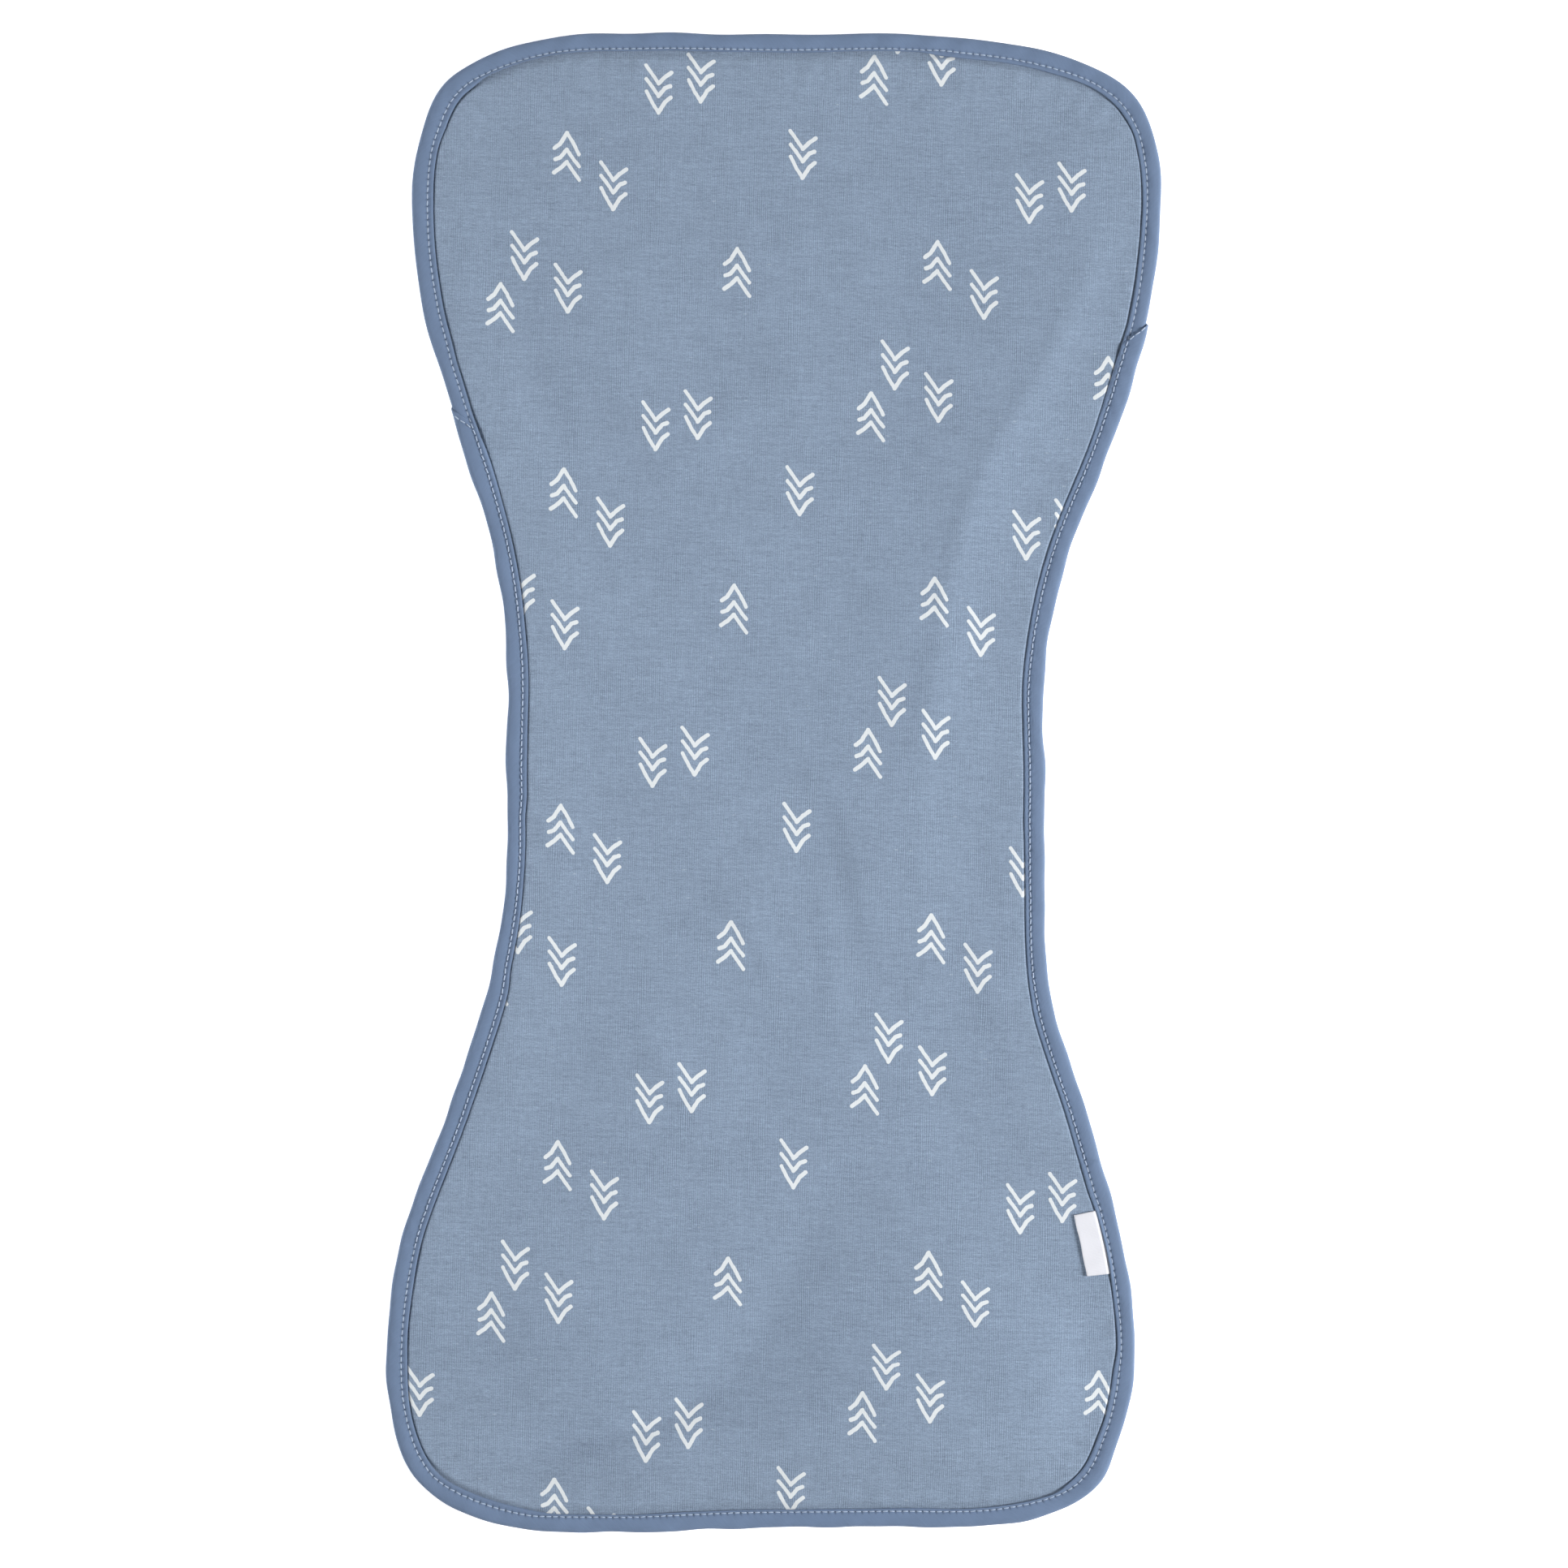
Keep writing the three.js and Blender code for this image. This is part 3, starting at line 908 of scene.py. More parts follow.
@dataclass(frozen=True)
class ChevronPrint:
    """The print: stacks of three brushed chevrons, singly and in small groups, on a slanted repeat.

    Rows of chevrons are the apex's height, then the thin arm's places and the thick arm's places on
    the way from the apex to its tip, each from the motif's middle. At the lower right a fold has
    drawn the print up, by the share that grows and wanes across drawn_across and along drawn_along.
    """

    lean: float = math.radians(0.91)
    down: tuple[float, float] = (0.0, -113.5)
    across: tuple[float, float] = (125.3, -35.8)
    stroke: float = 0.6
    heavier: float = 0.1
    soft: float = 0.08
    ragged: float = 0.42
    fray: tuple[float, float] = (0.85, 0.7)
    drawn_up: float = 4.0
    drawn_across: tuple[float, float, float, float] = (-40.0, 20.0, 70.0, 110.0)
    drawn_along: tuple[float, float] = (165.0, 205.0)
    turned_back: float = 1.4
    chevrons: tuple[tuple[float, tuple[tuple[float, float], ...], tuple[tuple[float, float], ...]], ...] = (
        (1.8, ((-2.0, 4.7), (-4.3, 7.9)), ((2.0, 3.8), (4.3, 5.4))),
        (-2.4, ((-2.3, 0.9), (-4.2, 3.3)), ((2.2, 0.3), (3.9, 0.9))),
        (-8.0, ((-2.1, -4.7), (-4.1, -0.8)), ((2.2, -4.4), (4.1, -2.9))),
    )
    motifs: tuple[Motif, ...] = (
        Motif(-41.0, 233.9, Way.DOWN),
        Motif(-26.8, 237.8, Way.DOWN),
        Motif(-71.8, 210.9, Way.UP),
        Motif(-56.0, 201.3, Way.DOWN),
        Motif(-85.8, 177.4, Way.DOWN),
        Motif(-71.0, 166.5, Way.DOWN),
        Motif(-93.7, 159.7, Way.UP),
        Motif(7.8, 212.4, Way.DOWN),
        Motif(-14.0, 172.2, Way.UP),
    )

    def _before_fold(self, bench: Bench, place: Wire) -> Wire:
        """Where a place was before the lower right fold took up cloth and drew the print with it.

        Args:
            bench: The material's bench.
            place: Place on the cloth, in millimetres.

        Returns:
            The place on the cloth while it was flat.
        """
        x, y, _ = bench.split(place)
        start, full, past, end = self.drawn_across
        share = bench.smooth(x, start, full) * (1.0 - bench.smooth(x, past, end) * self.turned_back)
        share = share * bench.smooth(y * -1.0, *self.drawn_along)
        return bench.vector("ADD", place, bench.join(Y=share * -self.drawn_up))

    def _local(self, bench: Bench, place: Wire) -> Wire:
        """Place within the nearest motif, upright.

        Args:
            bench: The material's bench.
            place: Place on the cloth, in millimetres.

        Returns:
            The vector from the nearest motif's middle.
        """
        repeat = np.array([self.down, self.across]).T
        turn = np.array([[math.cos(self.lean), math.sin(self.lean)],
                         [-math.sin(self.lean), math.cos(self.lean)]])
        inverse = np.linalg.inv(repeat)
        x_row, y_row = inverse @ turn
        grid = bench.join(X=bench.dot(place, x_row), Y=bench.dot(place, y_row))
        nearest, distance = None, None
        for motif in self.motifs:
            middle = inverse @ np.array([motif.x, motif.y])
            shifted = bench.vector("ADD", grid, (0.5 - middle[0], 0.5 - middle[1], 0.0))
            wrapped = bench.vector("SUBTRACT", bench.vector("FRACTION", shifted), (0.5, 0.5, 0.0))
            x_row, y_row = repeat * motif.way.value
            local = bench.join(X=bench.dot(wrapped, x_row), Y=bench.dot(wrapped, y_row))
            far = bench.vector("LENGTH", local, number=True)
            if nearest is None:
                nearest, distance = local, far
            else:
                nearest = bench.choose(far.below(distance), nearest, local)
                distance = far.least(distance)
        return nearest

    def _distance(self, bench: Bench, local: Wire, start: np.ndarray, end: np.ndarray) -> Wire:
        """Distance from a straight piece of a stroke.

        Args:
            bench: The material's bench.
            local: Place within the motif.
            start: Where the piece starts.
            end: Where it ends.

        Returns:
            The distance.
        """
        run = end - start
        from_start = bench.vector("SUBTRACT", local, (*start, 0.0))
        along = bench.dot(from_start, run / run.dot(run))
        held = bench.wire("ShaderNodeClamp", None, {"Value": along})
        reach = bench.vector("SCALE", (*run, 0.0), scale=held)
        return bench.vector("LENGTH", bench.vector("SUBTRACT", from_start, reach), number=True)

    def mask(self, bench: Bench, place: Wire) -> Wire:
        """1 on the ink and 0 off it.

        Args:
            bench: The material's bench.
            place: Place on the cloth, in millimetres.

        Returns:
            The ink's mask.
        """
        local = self._local(bench, self._before_fold(bench, place))
        nearest = None
        for height, *arms in self.chevrons:
            for arm, heavier in zip(arms, (0.0, self.heavier)):
                start = np.array([0.0, height])
                for end in arm:
                    far = self._distance(bench, local, start, np.array(end)) - heavier
                    nearest = far if nearest is None else nearest.least(far)
                    start = np.array(end)
        fray = bench.noise(bench.stretched(place, *self.fray), detail=3.0)
        edge = nearest + (fray - 0.5) * self.ragged
        return 1.0 - bench.smooth(edge, self.stroke - self.soft, self.stroke + self.soft)


@dataclass(frozen=True)
class Fleck:
    """One kind of unevenness in the knit: its paces per millimetre, and how it tints and lifts it."""

    across: float
    along: float
    detail: float = 3.0
    tint: float = 0.0
    lift: float = 0.0


@dataclass(frozen=True)
class HeatherKnit:
    """Brushed jersey of mixed blue fibre: fine wales along the cloth, flecks across it."""

    base: tuple[int, int, int] = (134, 151, 173)
    ink: tuple[int, int, int] = (225, 230, 233)
    lint: tuple[int, int, int] = (176, 190, 207)
    wale: float = 0.69
    wale_sway: float = 1.2
    wale_wear: float = 4.5
    wale_tint: float = 0.035
    wale_lift: float = 0.4
    sway: Fleck = Fleck(0.3, 0.05, 1.0)
    worn: Fleck = Fleck(0.12, 0.05, 2.0)
    streaks: Fleck = Fleck(0.08, 1.0, 4.0, tint=0.55, lift=1.0)
    dashes: Fleck = Fleck(0.42, 2.4, tint=0.8, lift=1.0)
    threads: Fleck = Fleck(1.3, 0.09, tint=0.25, lift=1.2)
    grain: Fleck = Fleck(2.4, 2.0, 2.0, tint=0.9, lift=0.8)
    cloudy: Fleck = Fleck(0.03, 0.06, tint=0.16)
    lump_roughness: float = 0.65
    lint_pace: tuple[float, float] = (0.07, 0.22)
    lint_edge: tuple[float, float] = (0.02, 0.06)
    lint_ragged: float = 0.2
    lint_share: float = 0.6
    ink_share: float = 0.98
    ink_fleck: float = 0.06
    ink_fills: float = 0.7
    ink_stands: float = 0.5
    print_on: ChevronPrint = ChevronPrint()

    def make(self, face: Face) -> bpy.types.Material:
        """Makes the finish of one face.

        Args:
            face: The printed face or the plain underside.

        Returns:
            The material.
        """
        finish = Finish(f"heather_knit_{face.name.lower()}", roughness=0.9, sheen=0.12)
        bench, place = finish.bench, finish.in_frame()

        def lumps(fleck: Fleck) -> Wire:
            """Noise about 0, stretched as the fleck is."""
            stretched = bench.stretched(place, fleck.across, fleck.along)
            return bench.noise(stretched, fleck.detail, self.lump_roughness) - 0.5

        x, _, _ = bench.split(place)
        ribs = bench.wave(x + lumps(self.sway) * self.wale_sway, self.wale)
        ribs = ribs * (1.0 + lumps(self.worn) * self.wale_wear)
        dashes = lumps(self.dashes)
        tone = 1.0 + ribs * self.wale_tint + dashes * self.dashes.tint
        height = ribs * self.wale_lift + dashes * self.dashes.lift
        for fleck in (self.streaks, self.threads, self.grain, self.cloudy):
            lump = lumps(fleck)
            tone = tone + lump * fleck.tint
            if fleck.lift:
                height = height + lump * fleck.lift
        colour = self._linted(finish, place, finish.tint(self.base, tone), dashes)
        if face is Face.PRINTED:
            ink = self.print_on.mask(bench, place)
            white = finish.tint(self.ink, 1.0 + dashes * self.ink_fleck)
            colour = bench.blend(ink * self.ink_share, colour, white)
            height = height * (1.0 - ink * self.ink_fills) + ink * self.ink_stands
        # The knit's colour takes the painted shade and painted light stored at the panel's corners.
        colour = bench.vector("SCALE", colour, scale=finish.painted_light_factor())
        return finish.dress(colour, height, strength=0.5, depth=0.12)

    def _linted(self, finish: Finish, place: Wire, colour: Wire, dashes: Wire) -> Wire:
        """The knit's colour with short pale fibres on it.

        Args:
            finish: The material under way.
            place: Place on the cloth.
            colour: The colour without them.
            dashes: The noise that makes their edges ragged.

        Returns:
            The colour.
        """
        bench = finish.bench
        speck = bench.wire("ShaderNodeTexVoronoi", {"feature": "F1"}, {
            "Vector": bench.stretched(place, *self.lint_pace), "Scale": 1.0, "Randomness": 1.0})
        lint = 1.0 - bench.smooth(speck + dashes * self.lint_ragged, *self.lint_edge)
        return bench.blend(lint * self.lint_share, colour, rgb(*self.lint))


@dataclass(frozen=True)
class BiasWeave:
    """Plain woven tape folded on the bias, so its threads cross the edge at 45 degrees."""

    base: tuple[int, int, int] = (112, 132, 162)
    thread: float = 0.33
    slub_pace: tuple[float, float] = (0.12, 1.3)
    cloud_pace: tuple[float, float] = (0.09, 0.25)
    slub_tint: float = 0.2
    cloud_tint: float = 0.16
    weave_tint: float = 0.03
    slub_lift: float = 1.5

    def make(self) -> bpy.types.Material:
        """Makes the finish.

        Returns:
            The material.
        """
        finish = Finish("bias_tape", roughness=0.8, sheen=0.1)
        bench, place = finish.bench, finish.on_cloth()
        along, round_edge, _ = bench.split(place)
        over, under = along + round_edge, along - round_edge
        apart = self.thread * math.sqrt(2.0)
        weave = bench.wave(over, apart) * bench.wave(under, apart)
        slant = bench.join(X=over * self.slub_pace[0], Y=under * self.slub_pace[1])
        slubs = bench.noise(slant, detail=3.0, roughness=0.6) - 0.5
        clouds = bench.noise(bench.stretched(place, *self.cloud_pace)) - 0.5
        tone = 1.0 + slubs * self.slub_tint + clouds * self.cloud_tint + weave * self.weave_tint
        # The tape's colour takes the painted shade and painted light stored at its corners.
        colour = finish.tint(self.base, tone * finish.painted_light_factor())
        return finish.dress(colour, weave + slubs * self.slub_lift, strength=0.4, depth=0.08)


@dataclass(frozen=True)
class SewingThread:
    """Two-ply sewing thread with its twist."""

    base: tuple[int, int, int] = (178, 193, 214)
    twist: float = 0.35
    twist_slope: float = 1.5
    twist_tint: float = 0.06

    def make(self) -> bpy.types.Material:
        """Makes the finish.

        Returns:
            The material.
        """
        finish = Finish("sewing_thread", roughness=0.55, sheen=0.1)
        x, y, z = finish.bench.split(finish.in_frame())
        ply = finish.bench.wave(x + y + z * self.twist_slope, self.twist)
        colour = finish.tint(self.base, 1.0 + ply * self.twist_tint)
        return finish.dress(colour, ply, strength=0.4, depth=0.05)


@dataclass(frozen=True)
class SatinRibbon:
    """White satin ribbon with fine ribs across it."""

    base: tuple[int, int, int] = (227, 228, 235)
    rib: float = 0.4
    rib_tint: float = 0.012
    float_pace: tuple[float, float] = (0.5, 3.0)
    float_tint: float = 0.05

    def make(self) -> bpy.types.Material:
        """Makes the finish.

        Returns:
            The material.
        """
        finish = Finish("satin_ribbon", roughness=0.45, sheen=0.05)
        bench, place = finish.bench, finish.on_cloth()
        ribs = bench.wave(bench.split(place)[0], self.rib)
        floats = bench.noise(bench.stretched(place, *self.float_pace)) - 0.5
        tone = 1.0 + ribs * self.rib_tint + floats * self.float_tint
        return finish.dress(finish.tint(self.base, tone), ribs + floats, strength=0.3, depth=0.05)


def show(name: str, data: bpy.types.ID) -> bpy.types.Object:
    """Makes an object of a mesh, a light or a camera, and adds it to the scene."""
    shown = bpy.data.objects.new(name, data)
    bpy.context.scene.collection.objects.link(shown)
    return shown


def make_piece(name: str, points: np.ndarray, faces: Sequence[Sequence[int]],
               finishes: Sequence[bpy.types.Material]) -> bpy.types.Object:
    """Makes one smooth mesh object at the origin.

    Args:
        name: The piece's name.
        points: Its corners, in millimetres.
        faces: Its faces, as rows of corner numbers.
        finishes: Its materials, the first one for every face until others are set.

    Returns:
        The object.
    """
    mesh = bpy.data.meshes.new(name)
    mesh.from_pydata((points * MM).tolist(), [], faces)
    for finish in finishes:
        mesh.materials.append(finish)
    mesh.shade_smooth()
    return show(name, mesh)


def paint_shade(piece: bpy.types.Object, shade: np.ndarray) -> None:
    """Stores painted shade at each corner as the share of colour taken away; below 0, painted light."""
    layer = piece.data.attributes.new("shade", "FLOAT", "POINT")
    layer.data.foreach_set("value", shade.astype(np.float32).ravel())


def map_cloth(piece: bpy.types.Object, flat: np.ndarray) -> None:
    """Gives each corner its place on the flat cloth, in metres, as the UV map.

    Args:
        piece: The piece.
        flat: For each point, its distances along and across the cloth, in millimetres.
    """
    corners = np.zeros(len(piece.data.loops), np.int32)
    piece.data.loops.foreach_get("vertex_index", corners)
    layer = piece.data.uv_layers.new(name="UVMap")
    layer.uv.foreach_set("vector", (flat[corners] * MM).astype(np.float32).ravel())


def ring_faces(rows: int, count: int) -> list[tuple[int, int, int, int]]:
    """Four-sided faces between loops of points that match one to one.

    Args:
        rows: How many loops there are.
        count: How many points each loop has.

    Returns:
        The faces, wound so that a loop that runs clockwise from outside faces out.
    """
    here = np.arange(rows - 1)[:, None] * count
    k = np.arange(count)[None, :]
    after = (k + 1) % count
    quads = np.stack([here + k, here + after, here + count + after, here + count + k], axis=-1)
    return [tuple(quad) for quad in quads.reshape(-1, 4).tolist()]


def tube_faces(sections: int, count: int) -> list[tuple[int, ...]]:
    """Faces of a hollow strip whose two cut ends are closed from its outer skin to its inner one.

    Args:
        sections: How many sections it has.
        count: How many points each has: the outer skin's, then as many of the inner one's, back.

    Returns:
        The faces.
    """
    faces: list[tuple[int, ...]] = list(ring_faces(sections, count))
    last = (sections - 1) * count
    for i in range(count // 2 - 1):
        cap = (i, i + 1, count - 2 - i, count - 1 - i)
        faces.append(tuple(reversed(cap)))
        faces.append(tuple(last + k for k in cap))
    return faces


def weld(faces: Sequence[Sequence[int]], stands: np.ndarray) -> tuple[np.ndarray, list[tuple[int, ...]]]:
    """Makes points that lie in one place a single point.

    Args:
        faces: The faces, as rows of corner numbers.
        stands: For each point, the number of the point that stands for it.

    Returns:
        The numbers of the points that are kept, and the faces between them.
    """
    kept, number = np.unique(stands, return_inverse=True)
    welded = []
    for face in faces:
        corners = tuple(dict.fromkeys(int(number[k]) for k in face))
        if len(corners) > 2:
            welded.append(corners)
    return kept, welded


@dataclass
class Panel:
    """The knit panel: printed face, raw edge inside the tape, and plain underside.

    Its points stand in loops, at the margin's distances from the edge and then on the way in to a
    spine down the middle. Beside the tape a line of painted shadow darkens the colour.
    """

    layers: Layers
    relief: Relief
    along_step: float = 2.0
    end_reach: float = 254.0
    spine_half: float = 165.0
    margin: tuple[float, ...] = (
        2.2, 4.8, 5.7, 6.1, 6.4, 6.7, 7.0, 7.3, 7.6, 7.9,
        8.3, 8.8, 9.4, 10.1, 11.0, 12.1, 13.4, 15.0, 16.5, 18.0,
    )
    middle_rings: int = 34
    painted_line_shade: float = 0.25
    painted_line_reach: float = 0.3
    painted_line_beside: float = 0.05
    painted_line_under: float = 0.5
    painted_groove_reach: float = 1.1
    painted_groove_soft: float = 0.35

    def build(self, printed: bpy.types.Material, plain: bpy.types.Material) -> bpy.types.Object:
        """Builds the panel.

        Args:
            printed: Finish of the upper face.
            plain: Finish of the underside.

        Returns:
            The piece.
        """
        layers = self.layers
        s, flat, w = self._loops()
        spine, count = flat[-1], len(s)
        along = np.broadcast_to(s, w.shape)
        x, y = flat[..., 0], flat[..., 1]
        upper = np.dstack([x, y, self.relief.face(along, w, x, y)])[::-1]
        lower = np.dstack([x, y, self.relief.under(along, w, x, y)])
        loops = np.concatenate([upper, lower])
        kept, faces = weld(ring_faces(len(loops), count), self._twins(spine, len(loops)))
        piece = make_piece("knit_panel", loops.reshape(-1, 3)[kept], faces, (printed, plain))
        # Painted shadow: a dark line at the tape's inner edge, wider and fainter where the panel rises
        # slowly.
        past = w - layers.tape_shown(along) - self.painted_line_beside
        groove = layers.groove(along)
        reach = np.where(past > 0.0, self.painted_line_reach + self.painted_groove_reach * groove, self.painted_line_reach)
        shade = self.painted_line_shade * (1.0 - self.painted_groove_soft * groove) * bell(past, reach)
        paint_shade(piece, np.concatenate([shade[::-1], shade * self.painted_line_under]).ravel()[kept])
        self._turn_over(piece, int(np.searchsorted(kept, len(upper) * count)))
        return piece

    def _loops(self) -> tuple[np.ndarray, np.ndarray, np.ndarray]:
        """Loops of places from the raw edge in to the spine.

        Returns:
            Each station's distance along the edge, the places of every loop, and how far in each is.
        """
        outline, layers = self.layers.outline, self.layers
        half = math.ceil(outline.length / 2.0 / self.along_step)
        top, bottom = outline.near(0.0, self.end_reach), outline.near(0.0, -self.end_reach)
        s = np.concatenate([np.linspace(top, bottom, half, endpoint=False),
                            np.linspace(bottom, top + outline.length, half, endpoint=False)])
        count = len(s)
        rim = outline.place(s, self.margin[-1])
        facing = rim[(count - np.arange(count)) % count]
        level = np.clip((rim[:, 1] + facing[:, 1]) / 2.0, -self.spine_half, self.spine_half)
        spine = np.column_stack([np.zeros(count), level])
        flat, w = [], []
        for inset in self.margin:
            drawn = layers.lap / 2.0 * layers.rise(s) * max(float(layers.wrapped(inset)), 0.0)
            flat.append(outline.place(s, inset + drawn))
            w.append(np.full(count, inset))
        for share in np.linspace(1.0, 0.0, self.middle_rings + 1)[1:]:
            flat.append(spine + (rim - spine) * share)
            w.append(self.margin[-1] + np.linalg.norm(flat[-1] - rim, axis=1))
        return s, np.array(flat), np.array(w)

    def _twins(self, spine: np.ndarray, loops: int) -> np.ndarray:
        """Which point each point is one with, where the innermost loops close on the spine.

        Args:
            spine: The spine's point for each station.
            loops: How many loops there are.

        Returns:
            For each point, the number of the point that stands for it.
        """
        count = len(spine)
        station = np.arange(count)
        twin = np.minimum(station, (count - station) % count)
        twin[spine[:, 1] >= self.spine_half] = 0
        twin[spine[:, 1] <= -self.spine_half] = count // 2
        stands = np.arange(loops * count)
        stands[:count] = twin
        stands[-count:] = (loops - 1) * count + twin
        return stands

    def _turn_over(self, piece: bpy.types.Object, upper_points: int) -> None:
        """Gives its plain finish to the underside, whose points come after the upper ones."""
        for polygon in piece.data.polygons:
            polygon.material_index = int(min(polygon.vertices) >= upper_points)


@dataclass
class BiasTape:
    """Folded bias tape round the raw edge, with an outer skin and a lining inside it.

    Rows of skin and lining are the distance in from the fold and the height, from the underside's
    inner edge, round the fold, to the inner edge on the printed face. Each lining row faces the
    skin row of the same number. The flange is the part of the tape past the stitching. The drag of
    the stitches makes slanted ripples in the wall, and swell and stray are its slower unevenness.
    """

    layers: Layers
    name: str
    seed: int
    steps_per_stitch: int = 4
    skin: tuple[tuple[float, float], ...] = (
        (7.0, 0.16), (6.7, 0.0), (5.9, 0.02), (5.2, 0.26), (4.5, 0.02), (1.5, 0.0), (0.72, 0.24),
        (0.2, 0.85), (0.0, 1.6), (0.16, 2.38), (0.66, 2.95), (1.5, 3.18), (2.8, 3.24), (4.1, 3.12),
        (4.8, 2.96), (5.1, 2.86), (5.6, 2.99), (6.2, 3.1), (6.8, 3.12), (7.0, 2.84),
    )
    lining: tuple[tuple[float, float], ...] = (
        (6.95, 0.5), (6.6, 0.58), (5.9, 0.66), (5.2, 0.8), (4.5, 0.66), (1.6, 0.6), (1.15, 0.72),
        (0.78, 1.08), (0.6, 1.6), (0.75, 2.12), (1.12, 2.46), (1.6, 2.6), (2.8, 2.62), (4.1, 2.54),
        (4.8, 2.44), (5.1, 2.38), (5.6, 2.42), (6.2, 2.48), (6.75, 2.5), (6.95, 2.56),
    )
    skin_half: float = 1.3
    lining_half: float = 0.8
    drag_height: float = 0.13
    drag_length: float = 6.5
    drag_lean: float = 0.9
    drag_across: float = 0.3
    flange_drag: float = 0.5
    swell_height: float = 0.12
    swell_length: float = 34.0
    dome_from: float = 0.8
    dome_to: tuple[float, float] = (3.6, 1.4)
    flange_from: float = 5.4
    flange_run: float = 1.0
    lining_free: float = 5.0
    rim_from: float = 6.9
    edge_stray: float = 0.12
    edge_length: float = 26.0
    fold_stray: float = 0.2
    fold_length: float = 20.0
    fold_reach: float = 4.0
    hole_depth: float = 0.24
    hole_reach: float = 0.34
    painted_hole_shade: float = 0.62
    furrow_reach: float = 0.5
    fold_round: float = 0.5
    end_steps: tuple[float, ...] = (0.02, 0.1, 0.32, 0.62)
    end_open: float = 0.03
    label_lift: float = 0.42
    painted_rim_shade: float = 0.16
    painted_flange_light: float = 0.07

    def span(self) -> tuple[float, float]:
        """Distances along the edge of the tape's two ends, clockwise."""
        raise NotImplementedError

    def lie(self, s: np.ndarray, w: np.ndarray, z: np.ndarray,
            side: np.ndarray) -> tuple[np.ndarray, np.ndarray, np.ndarray]:
        """Moves a section to where the tape lies near the joins.

        Args:
            s: Distance along the edge.
            w: Distance in from the edge.
            z: Height.
            side: -1 under the panel, 1 on its printed face, 0 at the fold.

        Returns:
            The moved s, w and z.
        """
        raise NotImplementedError

    def _stations(self) -> tuple[np.ndarray, np.ndarray]:
        """Where the sections stand.

        Returns:
            Distances along the edge, and how fully open the section is there.
        """
        seam = self.layers.seam
        first, last = (float(seam.distance(end)) for end in self.span())
        count = round((last - first) / seam.pitch * self.steps_per_stitch)
        runs = np.linspace(first, last, count + 1)
        closing = np.array(self.end_steps) * self.fold_round
        runs = np.concatenate([first + closing, runs[1:-1], last - closing[::-1]])
        from_end = np.minimum(runs - first, last - runs) / self.fold_round
        opened = np.sqrt(np.clip(1.0 - (1.0 - np.minimum(from_end, 1.0)) ** 2, self.end_open, 1.0))
        return seam.along(runs), opened

    def _unevenness(self, s: np.ndarray, w: np.ndarray, side: np.ndarray) -> np.ndarray:
        """How far the tape's wall stands above its even section.

        Args:
            s: Distance along the edge.
            w: Distance in from the fold.
            side: -1 under the panel, 1 on its printed face.

        Returns:
            The added height.
        """
        drag, swell = Waver(self.seed, self.drag_length, waves=9), Waver(self.seed + 1, self.swell_length)
        on_face = np.clip(side, 0.0, 1.0)
        wane, run = self.dome_to
        dome = on_face * np.clip(w / self.dome_from, 0.0, 1.0) * ease_down((w - wane) / run)
        dragged = self.drag_height * drag.at(s + self.drag_lean * w, self.drag_across * w)
        slow = self.swell_height * swell.at(s)
        flange = on_face * (1.0 - ease_down((w - self.flange_from) / self.flange_run))
        lift = self.label_lift * self.layers.at_label(s) * flange
        return dome * (dragged + slow) + lift + flange * self.flange_drag * dragged

    def build(self, weave: bpy.types.Material) -> bpy.types.Object:
        """Builds the tape.

        Args:
            weave: Its finish.

        Returns:
            The piece.
        """
        layers, skin, lining = self.layers, np.array(self.skin), np.array(self.lining)
        runs, opened = self._stations()
        s = np.repeat(runs[:, None], len(skin), axis=1)
        opened = opened[:, None]
        middle, between = layers.bound_edge / 2.0, (skin + lining) / 2.0
        halves = []
        for rows, half in ((skin, self.skin_half), (lining, self.lining_half)):
            side = np.clip((rows[:, 1] - middle) / half, -1.0, 1.0)[None, :]
            w, z = (between[:, axis] + (rows - between)[:, axis] * opened for axis in (0, 1))
            halves.append((w, z, side))
        (w, z, side), (w_in, z_in, side_in) = halves
        where, _, _ = self.lie(s, w, z, side)
        hole = layers.seam.hole(where, self.hole_reach) * bell(w - layers.seam_inset, self.furrow_reach)
        z = z + self._unevenness(where, w, side) * opened
        z = z - self.hole_depth * hole * np.clip(side, 0.0, 1.0) * opened
        z_in = z_in + self._unevenness(where, w_in, side_in) * (w_in > self.lining_free) * opened

        def round_wall(outer: np.ndarray, inner: np.ndarray) -> np.ndarray:
            """Joins rows of the skin and of the lining into sections."""
            return np.concatenate([outer, inner[:, ::-1]], axis=1)

        loops = round_wall(self._points(s, w, z, side), self._points(s, w_in, z_in, side_in))
        piece = make_piece(self.name, loops.reshape(-1, 3), tube_faces(*loops.shape[:2]), (weave,))
        round_edge = np.concatenate([[0.0], np.cumsum(np.linalg.norm(np.diff(skin, axis=0), axis=1))])
        flat = np.dstack([layers.seam.distance(where), np.broadcast_to(round_edge, w.shape)])
        map_cloth(piece, round_wall(flat, flat).reshape(-1, 2))
        inset, on_face = skin[:, 0], skin[:, 1] > middle
        # Painted light makes the flange on the printed face lighter, as a negative painted shade.
        light = -self.painted_flange_light * ((inset > self.flange_from) & (inset < self.rim_from) & on_face)
        # Painted shadow darkens the tape's inner rim on the printed face.
        rim = self.painted_rim_shade * ((inset > self.rim_from) & on_face)
        # Painted shade darkens the needle holes, on top of their real dips.
        shade = np.maximum(self.painted_hole_shade * hole, (light + rim)[None, :])
        paint_shade(piece, round_wall(shade, shade))
        return piece

